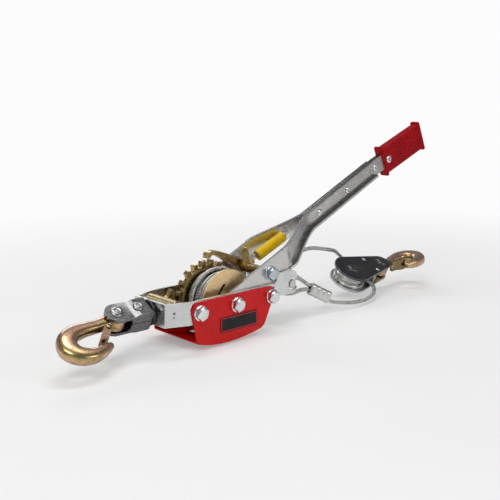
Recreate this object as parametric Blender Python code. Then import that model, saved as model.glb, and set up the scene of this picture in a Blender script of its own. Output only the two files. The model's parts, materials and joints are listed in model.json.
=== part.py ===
"""Come along winch: a lever ratchet cable puller with a fixed hook and a pulley block.

Design frame: millimetres, +Z up, origin at the middle of the drum axle, which lies along Y.
The pull axis is X: the fixed hook is on the -X side, the pulley block on the +X side.
"Near" is -Y and "far" is +Y. mesh_object scales to metres and moves the world origin
to FLOOR_ORIGIN, on the floor under the middle of the winch.
"""
import math
import bpy
import bmesh
from mathutils import Vector

MM = 0.001
FLOOR_ORIGIN = (89.497, 1.2, -38.463)
AXLE = (0, 0, 0)
X_AXIS = (1, 0, 0)
Y_AXIS = (0, 1, 0)
UP = Vector((0, 0, 1))

# ---- driving dimensions shared between sections, millimetres and degrees ----
FIT = 0.3                 # clearance between mating pieces
WALL_IN = 31.5            # inner face of a side wall, from the middle plane
WALL_T = 3.0
END_X = -84.5             # outer face of the end plate
BOLT_FRONT = -49.0        # X of the stop pawl pivot bolt
BOLT_REAR = 50.0          # X of the rear cross bolt
BOLT_R = 4.0
BOLT_HOLE_R = BOLT_R + FIT
CROSS_BOLTS = (BOLT_FRONT, 0.0, BOLT_REAR)
ANCHOR = (83.0, 8.0)      # cable anchor hole in the rear tabs, X and Z
GUARD_OUT = 36.4          # outer face of the red guard
ARM_OUT = 31.0            # outer face of a lever arm at the frame
PAWL_PIVOT = (53.5, 23.5)  # drive pawl, X and Z
DRUM_R = 20.0
CABLE_R = 2.4
RATCHET_Y = (12.0, 19.0)
FLANGE_Y = (-21.0, -19.0)
RIVET_R = 3.0
PIN_R = 4.0               # hook pins and sheave axle

for old in list(bpy.data.objects):
    bpy.data.objects.remove(old, do_unlink=True)


# ---- materials ----
def material(name, color, metallic, roughness):
    mat = bpy.data.materials.new(name)
    mat.use_nodes = True
    shader = mat.node_tree.nodes["Principled BSDF"]
    shader.inputs["Base Color"].default_value = (*color, 1.0)
    shader.inputs["Metallic"].default_value = metallic
    shader.inputs["Roughness"].default_value = roughness
    mat.diffuse_color = (*color, 1.0)
    return mat


def metal(name, color, roughness):
    return material(name, color, metallic=1.0, roughness=roughness)


def coating(name, color, roughness):
    return material(name, color, metallic=0.0, roughness=roughness)


ZINC = metal("zinc_plated_sheet", color=(0.62, 0.65, 0.66), roughness=0.35)
BRIGHT = metal("bright_zinc_fastener", color=(0.72, 0.73, 0.75), roughness=0.22)
GREY = metal("grey_steel_stamping", color=(0.30, 0.31, 0.32), roughness=0.35)
DARK = metal("dark_mirror_plate", color=(0.10, 0.10, 0.11), roughness=0.22)
GOLD = metal("yellow_chromate", color=(0.60, 0.44, 0.20), roughness=0.33)
RED = coating("red_gloss_paint", color=(0.62, 0.015, 0.02), roughness=0.22)
BLACK = coating("black_label", color=(0.012, 0.012, 0.012), roughness=0.35)
ROPE = metal("galvanised_wire_rope", color=(0.42, 0.42, 0.42), roughness=0.38)
GRIP = coating("red_grip_plastic", color=(0.66, 0.02, 0.03), roughness=0.42)
SLEEVE = coating("yellow_sleeve_plastic", color=(0.85, 0.62, 0.02), roughness=0.35)
ALU = metal("aluminium_ferrule", color=(0.70, 0.70, 0.68), roughness=0.42)
SPRING = metal("spring_steel", color=(0.55, 0.50, 0.42), roughness=0.30)


# ---- mesh helpers, all in design millimetres ----
def mesh_object(name, verts, faces, mat, pivot=AXLE, smooth=False):
    """Object with its origin at pivot."""
    shape = bmesh.new()
    corners = [shape.verts.new([(v[i] - pivot[i]) * MM for i in range(3)]) for v in verts]
    for face in faces:
        shape.faces.new([corners[i] for i in face])
    bmesh.ops.remove_doubles(shape, verts=shape.verts, dist=1e-6)
    bmesh.ops.recalc_face_normals(shape, faces=shape.faces)
    mesh = bpy.data.meshes.new(name)
    shape.to_mesh(mesh)
    shape.free()
    obj = bpy.data.objects.new(name, mesh)
    obj.location = [(pivot[i] - FLOOR_ORIGIN[i]) * MM for i in range(3)]
    bpy.context.collection.objects.link(obj)
    if mat:
        mesh.materials.append(mat)
    if smooth:
        shade(obj)
    return obj


def shade(obj, sharp_deg=38.0):
    for face in obj.data.polygons:
        face.use_smooth = True
    obj.data.set_sharp_from_angle(angle=math.radians(sharp_deg))


def combine(obj, cutters, operation="DIFFERENCE"):
    """Apply a boolean with each cutter, then remove the cutters."""
    for cutter in cutters:
        boolean = obj.modifiers.new("cut", "BOOLEAN")
        boolean.operation = operation
        boolean.solver = "EXACT"
        boolean.object = cutter
    bpy.context.view_layer.update()
    evaluated = obj.evaluated_get(bpy.context.evaluated_depsgraph_get())
    mesh = bpy.data.meshes.new_from_object(evaluated)
    before = obj.data
    obj.modifiers.clear()
    obj.data = mesh
    mesh.name = obj.name
    bpy.data.meshes.remove(before)
    # the piece keeps only its own material
    while len(mesh.materials) > 1:
        mesh.materials.pop()
    for face in mesh.polygons:
        face.material_index = 0
    for cutter in cutters:
        bpy.data.objects.remove(cutter, do_unlink=True)
    shape = bmesh.new()
    shape.from_mesh(mesh)
    bmesh.ops.remove_doubles(shape, verts=shape.verts, dist=2e-6)
    bmesh.ops.dissolve_degenerate(shape, edges=shape.edges, dist=1e-6)
    shape.to_mesh(mesh)
    shape.free()


class Place:
    """A local frame: origin and three unit axes in the design frame."""

    def __init__(self, origin, x, y, z):
        self.origin, self.x, self.y, self.z = Vector(origin), Vector(x), Vector(y), Vector(z)

    def __call__(self, x, y, z):
        return self.origin + self.x * x + self.y * y + self.z * z


def tilted(origin, degrees):
    """Frame turned about the pull axis."""
    c, s = math.cos(math.radians(degrees)), math.sin(math.radians(degrees))
    return Place(origin, X_AXIS, (0, c, s), (0, -s, c))


# outline in the XZ plane, depth along Y
SIDE = Place(AXLE, X_AXIS, UP, Y_AXIS)


def prism(name, outline, depth0, depth1, mat, place=SIDE, pivot=AXLE):
    n = len(outline)
    verts = [place(x, y, depth) for depth in (depth0, depth1) for x, y in outline]
    faces = [tuple(range(n)), tuple(range(2 * n - 1, n - 1, -1))]
    faces += [(i, (i + 1) % n, n + (i + 1) % n, n + i) for i in range(n)]
    return mesh_object(name, verts, faces, mat, pivot)


def prism_cutter(outline, depth0, depth1, place=SIDE):
    return prism("cutter", outline, depth0, depth1, None, place)


def rings(name, ring_list, mat, pivot=AXLE, smooth=True, closed=False):
    """Skin over equal rings; capped at both ends, or joined last to first if closed."""
    n = len(ring_list[0])
    count = len(ring_list)
    verts = [point for ring in ring_list for point in ring]
    faces = []
    for k in range(count if closed else count - 1):
        a, b = k * n, ((k + 1) % count) * n
        faces += [(a + i, a + (i + 1) % n, b + (i + 1) % n, b + i) for i in range(n)]
    if not closed:
        faces += [tuple(range(n)), tuple(range((count - 1) * n, count * n))]
    return mesh_object(name, verts, faces, mat, pivot, smooth)


def turned(name, start, axis, profile, mat, seg=20, pivot=None, smooth=True, closed=False,
           spin=0.0):
    """Round piece along axis. Profile rows: distance, radius; a third item makes the
    section a hexagon with that radius as half its width across flats."""
    axis = Vector(axis).normalized()
    side = axis.orthogonal().normalized()
    if abs(axis.z) < 0.9:
        side = (UP - axis * axis.z).normalized()
    across = axis.cross(side)
    ring_list = []
    for distance, size, *hexagon in profile:
        ring = []
        for i in range(seg):
            turn = 2 * math.pi * i / seg
            angle = turn + spin
            radius = size
            if hexagon:
                radius = size / math.cos(turn % (math.pi / 3) - math.pi / 6)
            outward = side * math.cos(angle) + across * math.sin(angle)
            ring.append(Vector(start) + axis * distance + outward * radius)
        ring_list.append(ring)
    return rings(name, ring_list, mat, start if pivot is None else pivot, smooth, closed)


def rod_cutter(start, axis, radius, length, seg=16):
    return turned("cutter", start, axis, [(0, radius), (length, radius)], None, seg, smooth=False)


def hole_cutter(centre, axis, radius, length=90, seg=16):
    """Rod cutter centred on a point."""
    start = Vector(centre) - Vector(axis).normalized() * (length / 2)
    return rod_cutter(start, axis, radius, length, seg)


def cross_hole(x, z, radius, length=90, seg=16):
    """Hole cutter along Y, centred on the middle plane."""
    return hole_cutter((x, 0, z), Y_AXIS, radius, length, seg)


def polar(radius, degrees):
    return (radius * math.cos(math.radians(degrees)), radius * math.sin(math.radians(degrees)))


def arc(x, y, radius, start_deg, end_deg, steps):
    points = [polar(radius, start_deg + (end_deg - start_deg) * i / steps)
              for i in range(steps + 1)]
    return [(x + dx, y + dy) for dx, dy in points]


def rectangle(x0, y0, x1, y1):
    return [(x0, y0), (x1, y0), (x1, y1), (x0, y1)]


def tube(name, points, radius, mat, seg=8, pivot=AXLE):
    """Round section swept along points with the least possible twist."""
    points = [Vector(p) for p in points]
    last = len(points) - 1
    tangents = [(points[min(i + 1, last)] - points[max(i - 1, 0)]).normalized()
                for i in range(last + 1)]
    side = tangents[0].orthogonal().normalized()
    ring_list = []
    for i, (point, tangent) in enumerate(zip(points, tangents)):
        if i:
            side = tangents[i - 1].rotation_difference(tangent) @ side
            side = (side - tangent * side.dot(tangent)).normalized()
        across = tangent.cross(side)
        angles = [2 * math.pi * k / seg for k in range(seg)]
        ring_list.append([point + (side * math.cos(a) + across * math.sin(a)) * radius
                          for a in angles])
    rings(name, ring_list, mat, pivot)


def helix(place, radius, start, length, turns):
    """Coil round the z axis of place, in seven steps a turn."""
    steps = turns * 7
    points = []
    for k in range(steps + 1):
        angle = 2 * math.pi * k / 7
        points.append(place(radius * math.cos(angle), radius * math.sin(angle),
                            start + length * k / steps))
    return points


def smooth_path(controls, steps=2):
    """Centripetal Catmull-Rom curve through the control points."""
    pts = [Vector(p) for p in controls]
    pts = [pts[0] * 2 - pts[1]] + pts + [pts[-1] * 2 - pts[-2]]
    curve = []
    for p0, p1, p2, p3 in zip(pts, pts[1:], pts[2:], pts[3:]):
        d1, d2, d3 = [max((b - a).length, 1e-6) ** 0.5 for a, b in ((p0, p1), (p1, p2), (p2, p3))]
        m1 = ((p1 - p0) / d1 - (p2 - p0) / (d1 + d2) + (p2 - p1) / d2) * d2
        m2 = ((p2 - p1) / d2 - (p3 - p1) / (d2 + d3) + (p3 - p2) / d3) * d2
        for k in range(steps):
            t = k / steps
            curve.append(p1 * (2 * t ** 3 - 3 * t ** 2 + 1) + m1 * (t ** 3 - 2 * t ** 2 + t)
                         + p2 * (-2 * t ** 3 + 3 * t ** 2) + m2 * (t ** 3 - t ** 2))
    curve.append(pts[-2])
    return curve


# ---- frame: one bent strap with a narrow end plate, side walls and flared rear tabs ----
END_HALF = 25.5           # half width of the end plate
NOSE_X = -60.0            # where the walls start to close towards the end plate
TAB_X = 64.0              # where the rear tabs start to flare out
TAB_FLARE = 0.14          # outward slope of the tabs
WALL_TOP = 12.0
WALL_BOT = -11.0
# x, bottom z, top z
STRAP = [(x, WALL_BOT, WALL_TOP) for x in (END_X, -72.0, NOSE_X, -20.0, 20.0, 40.0)] + [
    (50.0, -10.5, WALL_TOP), (57.0, -6.5, WALL_TOP), (59.5, -4.0, 14.5), (61.5, -3.0, 19.0),
    (TAB_X, -2.5, 21.8), (70.0, -2.5, 22.7), (77.0, -2.5, 23.4), (81.0, -2.5, 23.7),
    (84.4, -1.6, 23.0), (86.8, 0.6, 21.2), (88.0, 2.8, 19.0), (88.6, 5.5, 16.0)]
# small holes in the near wall: centre, axis, radius
SMALL_WALL_HOLES = [((-75.0, -30, 2.6), (0.34, -1, 0), 1.3), ((-75.0, -30, -1.6), (0.34, -1, 0), 0.8),
                    ((55.5, -33, 8.5), Y_AXIS, 0.9)]


def wall_outer_y(x):
    closing = min((x - END_X) / (NOSE_X - END_X), 1.0)
    return END_HALF + (WALL_IN + WALL_T - END_HALF) * closing + max(x - TAB_X, 0.0) * TAB_FLARE


def build_frame():
    # from the near tab round the end plate to the far tab
    path = [(x, -wall_outer_y(x), bottom, top) for x, bottom, top in reversed(STRAP)]
    path += [(x, wall_outer_y(x), bottom, top) for x, bottom, top in STRAP]
    outer = [Vector(station[:2]) for station in path]
    normals = []
    for a, b in zip(outer, outer[1:]):
        along = (b - a).normalized()
        normals.append(Vector((along.y, -along.x)))
    ring_list = []
    for i, (x, y, bottom, top) in enumerate(path):
        before = normals[max(i - 1, 0)]
        after = normals[min(i, len(normals) - 1)]
        mitre = (before + after).normalized()
        inner = outer[i] + mitre * (WALL_T / mitre.dot(before))
        ring_list.append([(x, y, bottom), (x, y, top), (*inner, top), (*inner, bottom)])
    frame = rings("frame", ring_list, ZINC, smooth=False)
    cuts = [cross_hole(x, 0, BOLT_HOLE_R) for x in CROSS_BOLTS]
    cuts.append(cross_hole(*ANCHOR, 6.6))
    cuts.append(hole_cutter((END_X, 0, 0), X_AXIS, 5.3, 20))
    cuts += [hole_cutter(centre, axis, radius, 20) for centre, axis, radius in SMALL_WALL_HOLES]
    combine(frame, cuts)
    shade(frame, 30)


build_frame()

# ---- guard: red U-shaped cover around the underside ----
GUARD_T = 1.5
# x, z
GUARD_OUTLINE = arc(BOLT_FRONT, 1.0, 10.0, 165, 95, 6) + [(20.0, 11.2), (42.0, 11.0)] \
    + arc(49.0, 4.6, 6.0, 70, -15, 5) + [
        (50.5, -7.0), (41.5, -25.0), (39.0, -28.6), (34.5, -31.4), (24.0, -33.4), (13.0, -35.0),
        (2.0, -36.1), (-10.0, -36.6), (-22.0, -36.4), (-34.0, -35.2), (-44.0, -33.2),
        (-52.0, -31.0)]
GUARD_HOLLOW = [
    (-90.0, -29.5), (-52.0, -29.5), (-44.0, -31.7), (-34.0, -33.7), (-22.0, -34.9),
    (-10.0, -35.1), (2.0, -34.6), (13.0, -33.5), (24.0, -31.9), (34.0, -30.0), (80.0, -20.0),
    (80.0, 40.0), (-90.0, 40.0)]


def build_guard():
    guard = prism("guard", GUARD_OUTLINE, -GUARD_OUT, GUARD_OUT, RED)
    inside = GUARD_OUT - GUARD_T
    hollow = prism_cutter(GUARD_HOLLOW, -inside, inside)
    # clearance slot that the ratchet wheel dips into
    slot = prism_cutter(rectangle(-21.0, -45.0, 21.0, -20.0), RATCHET_Y[0] - 1.5, RATCHET_Y[1] + 1.5)
    holes = [cross_hole(x, 0, BOLT_HOLE_R, 100) for x in CROSS_BOLTS]
    combine(guard, [hollow, slot] + holes)
    shade(guard, 30)


build_guard()


# ---- label plate: black panel with a thin raised border, on the near side ----
def build_label():
    left, top, right, bottom = -22.5, -10.3, 28.4, -25.6
    border = 1.5
    label = prism("label", rectangle(left, top, right, bottom), -GUARD_OUT - 0.9,
                  -GUARD_OUT - 0.3, BLACK)
    well = rectangle(left + border, top - border, right - border, bottom + border)
    combine(label, [prism_cutter(well, -GUARD_OUT - 2.0, -GUARD_OUT - 0.7)])


build_label()

# ---- cross bolts with nuts ----
HEX_HALF = 13.0 / 2       # half the width across flats
NUT_H = 6.8
BOLT_PAST_NUT = 2.2


def bolt_and_nut(name, x, z, face, pivot=None):
    """Hex bolt along +Y, head seated at y = -face and flanged nut at y = +face."""
    length = 2 * face + NUT_H + BOLT_PAST_NUT
    bolt = [(-6.6, 4.6), (-6.2, HEX_HALF - 0.4), (-5.6, HEX_HALF, "hex"), (-1.4, HEX_HALF, "hex"),
            (-1.2, 7.6), (0, 8.0), (0, BOLT_R), (length - 0.8, BOLT_R), (length, BOLT_R - 0.8)]
    turned(name + "_bolt", (x, -face, z), Y_AXIS, bolt, BRIGHT, 12, pivot, spin=0.2)
    nut = [(0, BOLT_HOLE_R), (0, 7.8), (1.0, 7.6), (1.2, HEX_HALF, "hex"), (6.0, HEX_HALF, "hex"),
           (NUT_H, HEX_HALF - 0.5), (NUT_H, BOLT_HOLE_R)]
    turned(name + "_nut", (x, face, z), Y_AXIS, nut, BRIGHT, 12, pivot, closed=True)


for bolt_name, bolt_x in zip(("stop_pawl", "drum_axle", "rear_cross"), CROSS_BOLTS):
    bolt_and_nut(bolt_name, bolt_x, 0, GUARD_OUT + FIT)


def build_rear_spacer():
    half = WALL_IN - FIT
    turned("rear_spacer_tube", (BOLT_REAR, -half, 0), Y_AXIS,
           [(0, BOLT_HOLE_R), (0, 5.4), (2 * half, 5.4), (2 * half, BOLT_HOLE_R)],
           GREY, 16, closed=True)


def build_anchor_pin():
    """Pin held in the two rear tabs."""
    half = 36.2
    turned("cable_anchor_pin", (ANCHOR[0] + 1.0, -half, ANCHOR[1] - 0.3), Y_AXIS,
           [(0, 4.0), (0.8, 5.0), (2 * half - 0.8, 5.0), (2 * half, 4.0)], ALU, 16)


build_rear_spacer()
build_anchor_pin()

# ---- drum: core with hub, flange, ratchet wheel, wound cable ----
CORE_END = 27.0           # hub ends, inside the lever arms
FLANGE_R = 33.8
WOUND_R = 29.0
WRAPS = 6
TEETH = 20
RATCHET_R = 38.5
RATCHET_ROOT = 33.0
TOOTH_PHASE_DEG = 110.5
# one tooth: degrees from the start of its pitch, radius
TOOTH = [(0.0, RATCHET_ROOT), (0.0, RATCHET_R), (3.5, RATCHET_R), (7.0, RATCHET_R),
         (10.5, RATCHET_ROOT), (14.2, RATCHET_ROOT)]


def build_drum_core():
    seat_near = CORE_END + RATCHET_Y[0] - 0.3
    seat_far = CORE_END + RATCHET_Y[1] + 0.3
    turned("drum_core", (0, -CORE_END, 0), Y_AXIS,
           [(0, 4.4), (0, 8.5), (5.8, 8.5), (5.8, 11.5), (8.3, 11.5), (8.3, DRUM_R),
            (seat_near, DRUM_R), (seat_near, 12.0), (seat_far, 12.0), (seat_far, 9.0),
            (2 * CORE_END, 9.0), (2 * CORE_END, 4.4)], GOLD, 28, AXLE, closed=True)


def build_drum_flange():
    flange = turned("drum_flange", (0, FLANGE_Y[0], 0), Y_AXIS,
                    [(0, 11.8), (0, FLANGE_R - 0.5), (0.5, FLANGE_R), (1.7, FLANGE_R), (1.7, 11.8)],
                    GOLD, 44, AXLE, closed=True)
    slot = [(-9.8, 8.0), (-1.6, 17.5), (-4.8, 19.5), (-13.0, 9.5)]
    combine(flange, [prism_cutter(slot, -30, -10)])
    shade(flange, 30)


def build_ratchet_wheel():
    outline = [polar(radius, TOOTH_PHASE_DEG + k * 360.0 / TEETH + degrees)
               for k in range(TEETH) for degrees, radius in TOOTH]
    wheel = prism("ratchet_wheel", outline, *RATCHET_Y, GOLD)
    combine(wheel, [hole_cutter((0, 15, 0), Y_AXIS, 12.5, 40, 28)])
    shade(wheel, 20)


def build_wound_cable():
    near = FLANGE_Y[1] + 0.3
    width = RATCHET_Y[0] - 0.6 - near
    pitch = width / WRAPS
    inner = DRUM_R + 0.3
    middle = WOUND_R - CABLE_R
    profile = [(0.0, inner), (0.0, middle)]
    for k in range(WRAPS):
        for degrees in (140, 90, 40):
            across, rise = polar(1.0, degrees)
            profile.append((pitch * (k + 0.5) + across * pitch * 0.5, middle + rise * CABLE_R))
    profile += [(width, middle), (width, inner)]
    turned("wound_cable", (0, near, 0), Y_AXIS, profile, ROPE, 26, AXLE, closed=True)


build_drum_core()
build_drum_flange()
build_ratchet_wheel()
build_wound_cable()

# ---- stop pawl and its coil spring, which lies across the nose ----
STOP_PIVOT = (BOLT_FRONT, 0, 0)
STOP_LIFT_DEG = -11.5     # turn that lifts the stop pawl out of its tooth gap
# x, z with the pawl fully seated
STOP_PAWL_SEATED = [
    polar(34.4, 212.2), polar(34.4, 214.6), polar(38.5, 215.4), (-37.0, -27.0), (-46.5, -19.0),
    (-53.5, -9.0), *arc(BOLT_FRONT, 0, 8.0, 225, 115, 7), (-50.0, 14.4), (-46.6, 14.2),
    (-44.4, 7.0), (-42.0, 3.0), (-41.4, -4.0), polar(41.8, 197.0), polar(41.0, 206.0),
    polar(40.2, 210.4)]


def build_stop_pawl():
    c, s = polar(1.0, STOP_LIFT_DEG)
    outline = [(BOLT_FRONT + (x - BOLT_FRONT) * c - z * s, (x - BOLT_FRONT) * s + z * c)
               for x, z in STOP_PAWL_SEATED]
    pawl = prism("stop_pawl", outline, RATCHET_Y[0] + 0.4, RATCHET_Y[1] - 0.4, GOLD,
                 pivot=STOP_PIVOT)
    combine(pawl, [hole_cutter((BOLT_FRONT, 15, 0), Y_AXIS, BOLT_HOLE_R, 40)])
    shade(pawl, 25)


def build_stop_spring():
    across_nose = Place((-64.5, -19.5, 5.0), UP, X_AXIS, Y_AXIS)
    coil = helix(across_nose, radius=5.3, start=0.0, length=45.0, turns=18)
    tube("stop_pawl_spring", coil, 0.95, SPRING, 4, STOP_PIVOT)


build_stop_pawl()
build_stop_spring()


# ---- front swivel bolt, washer and nut ----
def build_swivel():
    pivot = (END_X, 0, 0)
    turned("swivel_bolt", (END_X - 12.6, 0, 0), X_AXIS,
           [(0.0, 5.6), (0.6, 7.2), (4.6, 7.6), (5.5, 7.0), (5.7, 5.0), (24.6, 5.0), (25.6, 4.0)],
           BRIGHT, 20, pivot)
    turned("swivel_washer", (END_X - 3.4, 0, 0), X_AXIS,
           [(0, 5.4), (0, 12.4), (0.6, 13.0), (2.5, 13.0), (3.1, 12.4), (3.1, 5.4)],
           GREY, 24, pivot, closed=True)
    turned("swivel_nut", (END_X + WALL_T + FIT, 0, 0), X_AXIS,
           [(0, 5.3), (0, 8.4), (0.8, 8.5, "hex"), (7.6, 8.5, "hex"), (8.4, 8.0), (8.4, 5.3)],
           BRIGHT, 18, pivot, closed=True)


build_swivel()

# ---- clevis: two formed halves riveted together ----
FRONT = tilted(AXLE, 28.0)   # frame of the clevis and front hook
HOOK_PIN_X = -126.0
CLEVIS_RIVET_X = -101.8
CLEVIS_END = END_X - 3.8     # clevis face behind the washer
# section of one half: x, height from the parting plane
CLEVIS_SECTION = [
    (CLEVIS_END, 0.5), (CLEVIS_END, 10.2), (CLEVIS_END - 2.0, 11.2), (-104.0, 11.2),
    (-107.5, 10.7), (-111.0, 9.6), (-139.0, 9.6), (-139.0, 6.6), (-114.5, 6.6), (-113.0, 5.5),
    (-112.0, 0.5)]
# plan of both halves: x, y in the FRONT frame
CLEVIS_PLAN = [(CLEVIS_END + 3.0, -11.4), (-108.0, -11.4), (-112.0, -11.8)] \
    + arc(HOOK_PIN_X, 0, 12.0, 275, 85, 12) \
    + [(-112.0, 11.8), (-108.0, 11.4), (CLEVIS_END + 3.0, 11.4)]


def clevis_half(name, sign):
    side = Place(AXLE, FRONT.x, FRONT.z * sign, FRONT.y)
    half = prism(name, CLEVIS_SECTION, -13.0, 13.0, GREY, side)
    combine(half, [prism_cutter(CLEVIS_PLAN, -20, 20, FRONT)], "INTERSECT")
    toward_hook = (-1, 0, 0)
    combine(half, [
        # cavity for the swivel bolt head, then the bore for its shank
        rod_cutter((CLEVIS_END - 2.6, 0, 0), toward_hook, 8.5, 7.4, 20),
        rod_cutter((CLEVIS_END + 4, 0, 0), toward_hook, 5.4, 14, 20),
        hole_cutter(FRONT(HOOK_PIN_X, 0, 0), FRONT.z, PIN_R + FIT, 40),
        hole_cutter(FRONT(CLEVIS_RIVET_X, 0, 0), FRONT.z, RIVET_R + FIT, 40)])
    shade(half, 35)


def rivet(name, place, x, y, half, radius, head_r, head_h, mat=BRIGHT, seg=14, pivot=None):
    """Two-headed rivet along place.z; half is the distance to the underside of each head."""
    top = head_h + 2 * half
    profile = [(0, head_r * 0.55), (head_h * 0.6, head_r * 0.92), (head_h, head_r),
               (head_h, radius), (top, radius), (top, head_r),
               (top + head_h * 0.4, head_r * 0.92), (top + head_h, head_r * 0.55)]
    turned(name, place(x, y, -half - head_h), place.z, profile, mat, seg, pivot or place(x, y, 0))


clevis_half("clevis_upper_half", 1)
clevis_half("clevis_lower_half", -1)
rivet("clevis_rivet", FRONT, CLEVIS_RIVET_X, 0, half=11.6, radius=RIVET_R, head_r=5.6, head_h=1.8)
rivet("hook_pivot_rivet", FRONT, HOOK_PIN_X, 0, half=9.9, radius=PIN_R, head_r=6.8, head_h=2.2)

# ---- forged hook with sprung latch, used at both ends ----
# x away from the pin, y towards the bowl, half thickness in the hook plane and across it
HOOK_LINE = [
    (8.0, 1.0, 7.8, 5.5), (16.0, 2.2, 6.8, 5.5), (25.0, 3.2, 6.5, 5.7), (38.0, 4.0, 7.2, 6.2),
    (50.0, 6.8, 8.7, 6.8), (58.6, 14.2, 9.8, 7.2), (60.6, 24.2, 9.8, 7.2), (55.0, 32.6, 8.6, 6.9),
    (45.0, 36.4, 7.4, 6.4), (35.0, 35.4, 6.3, 5.7), (27.0, 32.6, 5.0, 4.9), (20.5, 30.0, 3.4, 3.4)]
HOOK_SEG = 12
SECTION_POWER = 0.82      # below 1 squares the oval hook section
LATCH_X, LATCH_Y = 14.5, 12.2
HOOK_NECK = [(11.0, 4.0), (18.5, 4.0), (17.9, 12.2), (11.2, 12.2)]
LATCH_OUTLINE = arc(LATCH_X, LATCH_Y, 3.6, 265, 130, 7) + [
    (15.5, 18.5), (20.5, 24.0), (24.5, 25.4), (29.2, 25.2), (29.8, 23.6), (27.2, 20.0),
    (21.5, 13.8), (17.8, 9.9)]
LATCH_HOLLOW = [
    (LATCH_X - 8, LATCH_Y - 8), (LATCH_X - 8, LATCH_Y + 0.5), (LATCH_X - 3.0, LATCH_Y + 2.6),
    (17.2, 17.4), (21.6, 22.2), (26.0, 21.8), (34.0, 15.0), (24.0, 4.0)]


def power_keep_sign(value):
    return math.copysign(abs(value) ** SECTION_POWER, value)


def hook_bar(name, place, pivot):
    line = smooth_path([(x, y, 0) for x, y, _, _ in HOOK_LINE])
    sizes = smooth_path([(inside, across, 0) for _, _, inside, across in HOOK_LINE])
    angles = [2 * math.pi * k / HOOK_SEG for k in range(HOOK_SEG)]
    last = len(line) - 1
    ring_list = []
    for i, (centre, size) in enumerate(zip(line, sizes)):
        along = (line[min(i + 1, last)] - line[max(i - 1, 0)]).normalized()
        normal = Vector((-along.y, along.x, 0))
        ring = []
        for angle in angles:
            point = centre + normal * (power_keep_sign(math.cos(angle)) * size.x)
            ring.append(place(point.x, point.y, power_keep_sign(math.sin(angle)) * size.y))
        ring_list.append(ring)
    # small closing ring just past the tip; along and normal are those of the tip
    tip_length, tip_r = 2.2, 1.6
    tip = []
    for angle in angles:
        point = line[-1] + along * tip_length + normal * (math.cos(angle) * tip_r)
        tip.append(place(point.x, point.y, math.sin(angle) * tip_r))
    return rings(name, ring_list + [tip], GOLD, pivot)


def build_hook(name, place, eye_place):
    hook = hook_bar(name, place, place(0, 0, 0))
    eye = turned("cutter", eye_place(0, 0, -6.1), eye_place.z,
                 [(0, 9.8), (1.6, 11.4), (10.6, 11.4), (12.2, 9.8)], None, 20, smooth=False)
    combine(hook, [eye], "UNION")
    lug = rod_cutter(place(LATCH_X, LATCH_Y, -1.6), place.z, 3.6, 3.2, 14)
    combine(hook, [lug], "UNION")
    combine(hook, [prism_cutter(HOOK_NECK, -1.6, 1.6, place)], "UNION")
    combine(hook, [hole_cutter(eye_place(0, 0, 0), eye_place.z, PIN_R + FIT, 40),
                   latch_pin_hole(place)])
    shade(hook, 45)


def latch_pin_hole(place):
    return hole_cutter(place(LATCH_X, LATCH_Y, 0), place.z, 1.7, 18, 10)


def build_latch(prefix, place):
    pivot = place(LATCH_X, LATCH_Y, 0)
    latch = prism(prefix + "_latch", LATCH_OUTLINE, -6.0, 6.0, GOLD, place, pivot)
    combine(latch, [prism_cutter(LATCH_HOLLOW, -4.6, 4.6, place)])
    combine(latch, [latch_pin_hole(place)])
    shade(latch, 30)
    turned(prefix + "_latch_pin", place(LATCH_X, LATCH_Y, -7.4), place.z,
           [(0, 2.0), (0.3, 2.5), (1.1, 2.5), (1.1, 1.4), (13.7, 1.4), (13.7, 2.5), (14.5, 2.5),
            (14.8, 2.0)], BRIGHT, 10, pivot)
    coil = helix(Place(pivot, place.x, place.y, place.z), radius=2.5, start=2.35, length=1.85,
                 turns=3)
    tube(prefix + "_latch_spring", coil, 0.28, SPRING, 4, pivot)


def hook_set(prefix, pin, along, bowl, eye_side):
    """along points from the pin down the hook, bowl towards its bowl; eye_side is the
    same as bowl for the eye, which may be twisted against the bar."""
    place = Place(pin, along, bowl, along.cross(bowl))
    eye_place = Place(pin, along, eye_side, along.cross(eye_side))
    build_hook(prefix + "_hook", place, eye_place)
    build_latch(prefix, place)


hook_set("front", FRONT(HOOK_PIN_X, 0, 0), -FRONT.x, -FRONT.y, -FRONT.y)

# ---- lever: two cranked arms, rivets, grip ----
HANDLE_DEG = 24.2         # lever above the pull axis
GRIP_DROP_DEG = 3.0       # the grip part of the lever leans down by this
LEVER_RISE = 1.5          # lever centre line above the radial line from the axle
BEND_S = 300.0            # distance along the lever where the grip part starts
LEVER_END = 402.0
ARM_T = 3.5
ARM_GAP_HALF = 0.3        # inner face of an arm where the two run together
CRANK = (90.0, 158.0)     # the arms close in between these distances
NARROWING = (86.0, 126.0)
LIP_RUN = (86.0, 292.0)
# distances along the lever
ARM_STATIONS = [
    -9.0, -6.0, 0.0, 8.0, 60.0, 80.0, 86.0, 90.0, 95.0, 101.0, 108.0, 116.0, 124.0, 132.0, 140.0,
    147.0, 153.0, 158.0, 166.0, 200.0, 250.0, 292.0, 300.0, 308.0, 345.0, LEVER_END - 4]
ARM_ROUND_END = {-9.0: 8.0, -6.0: 10.4, 0.0: 12.0}   # station: half height
ARM_RIVETS = (179.0, 236.0, 295.5)
GRIP_RIVET = 322.6
SPRING_TOP = (118.5, 12.0, 52.5)
lever_cos, lever_sin = polar(1.0, HANDLE_DEG)
LEVER = Place(AXLE, (lever_cos, 0, lever_sin), (-lever_sin, 0, lever_cos), Y_AXIS)


def on_lever(s, t, y):
    """Point s along the lever's centre line, t above it and y across."""
    if s <= BEND_S:
        return LEVER(s, t + LEVER_RISE, y)
    c, sn = polar(1.0, -GRIP_DROP_DEG)
    past = s - BEND_S
    return LEVER(BEND_S + past * c - t * sn, LEVER_RISE + past * sn + t * c, y)


def ramp(s, start, end):
    """Linear 0 to 1 and its eased version."""
    k = min(max((s - start) / (end - start), 0.0), 1.0)
    return k, k * k * (3 - 2 * k)


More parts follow.
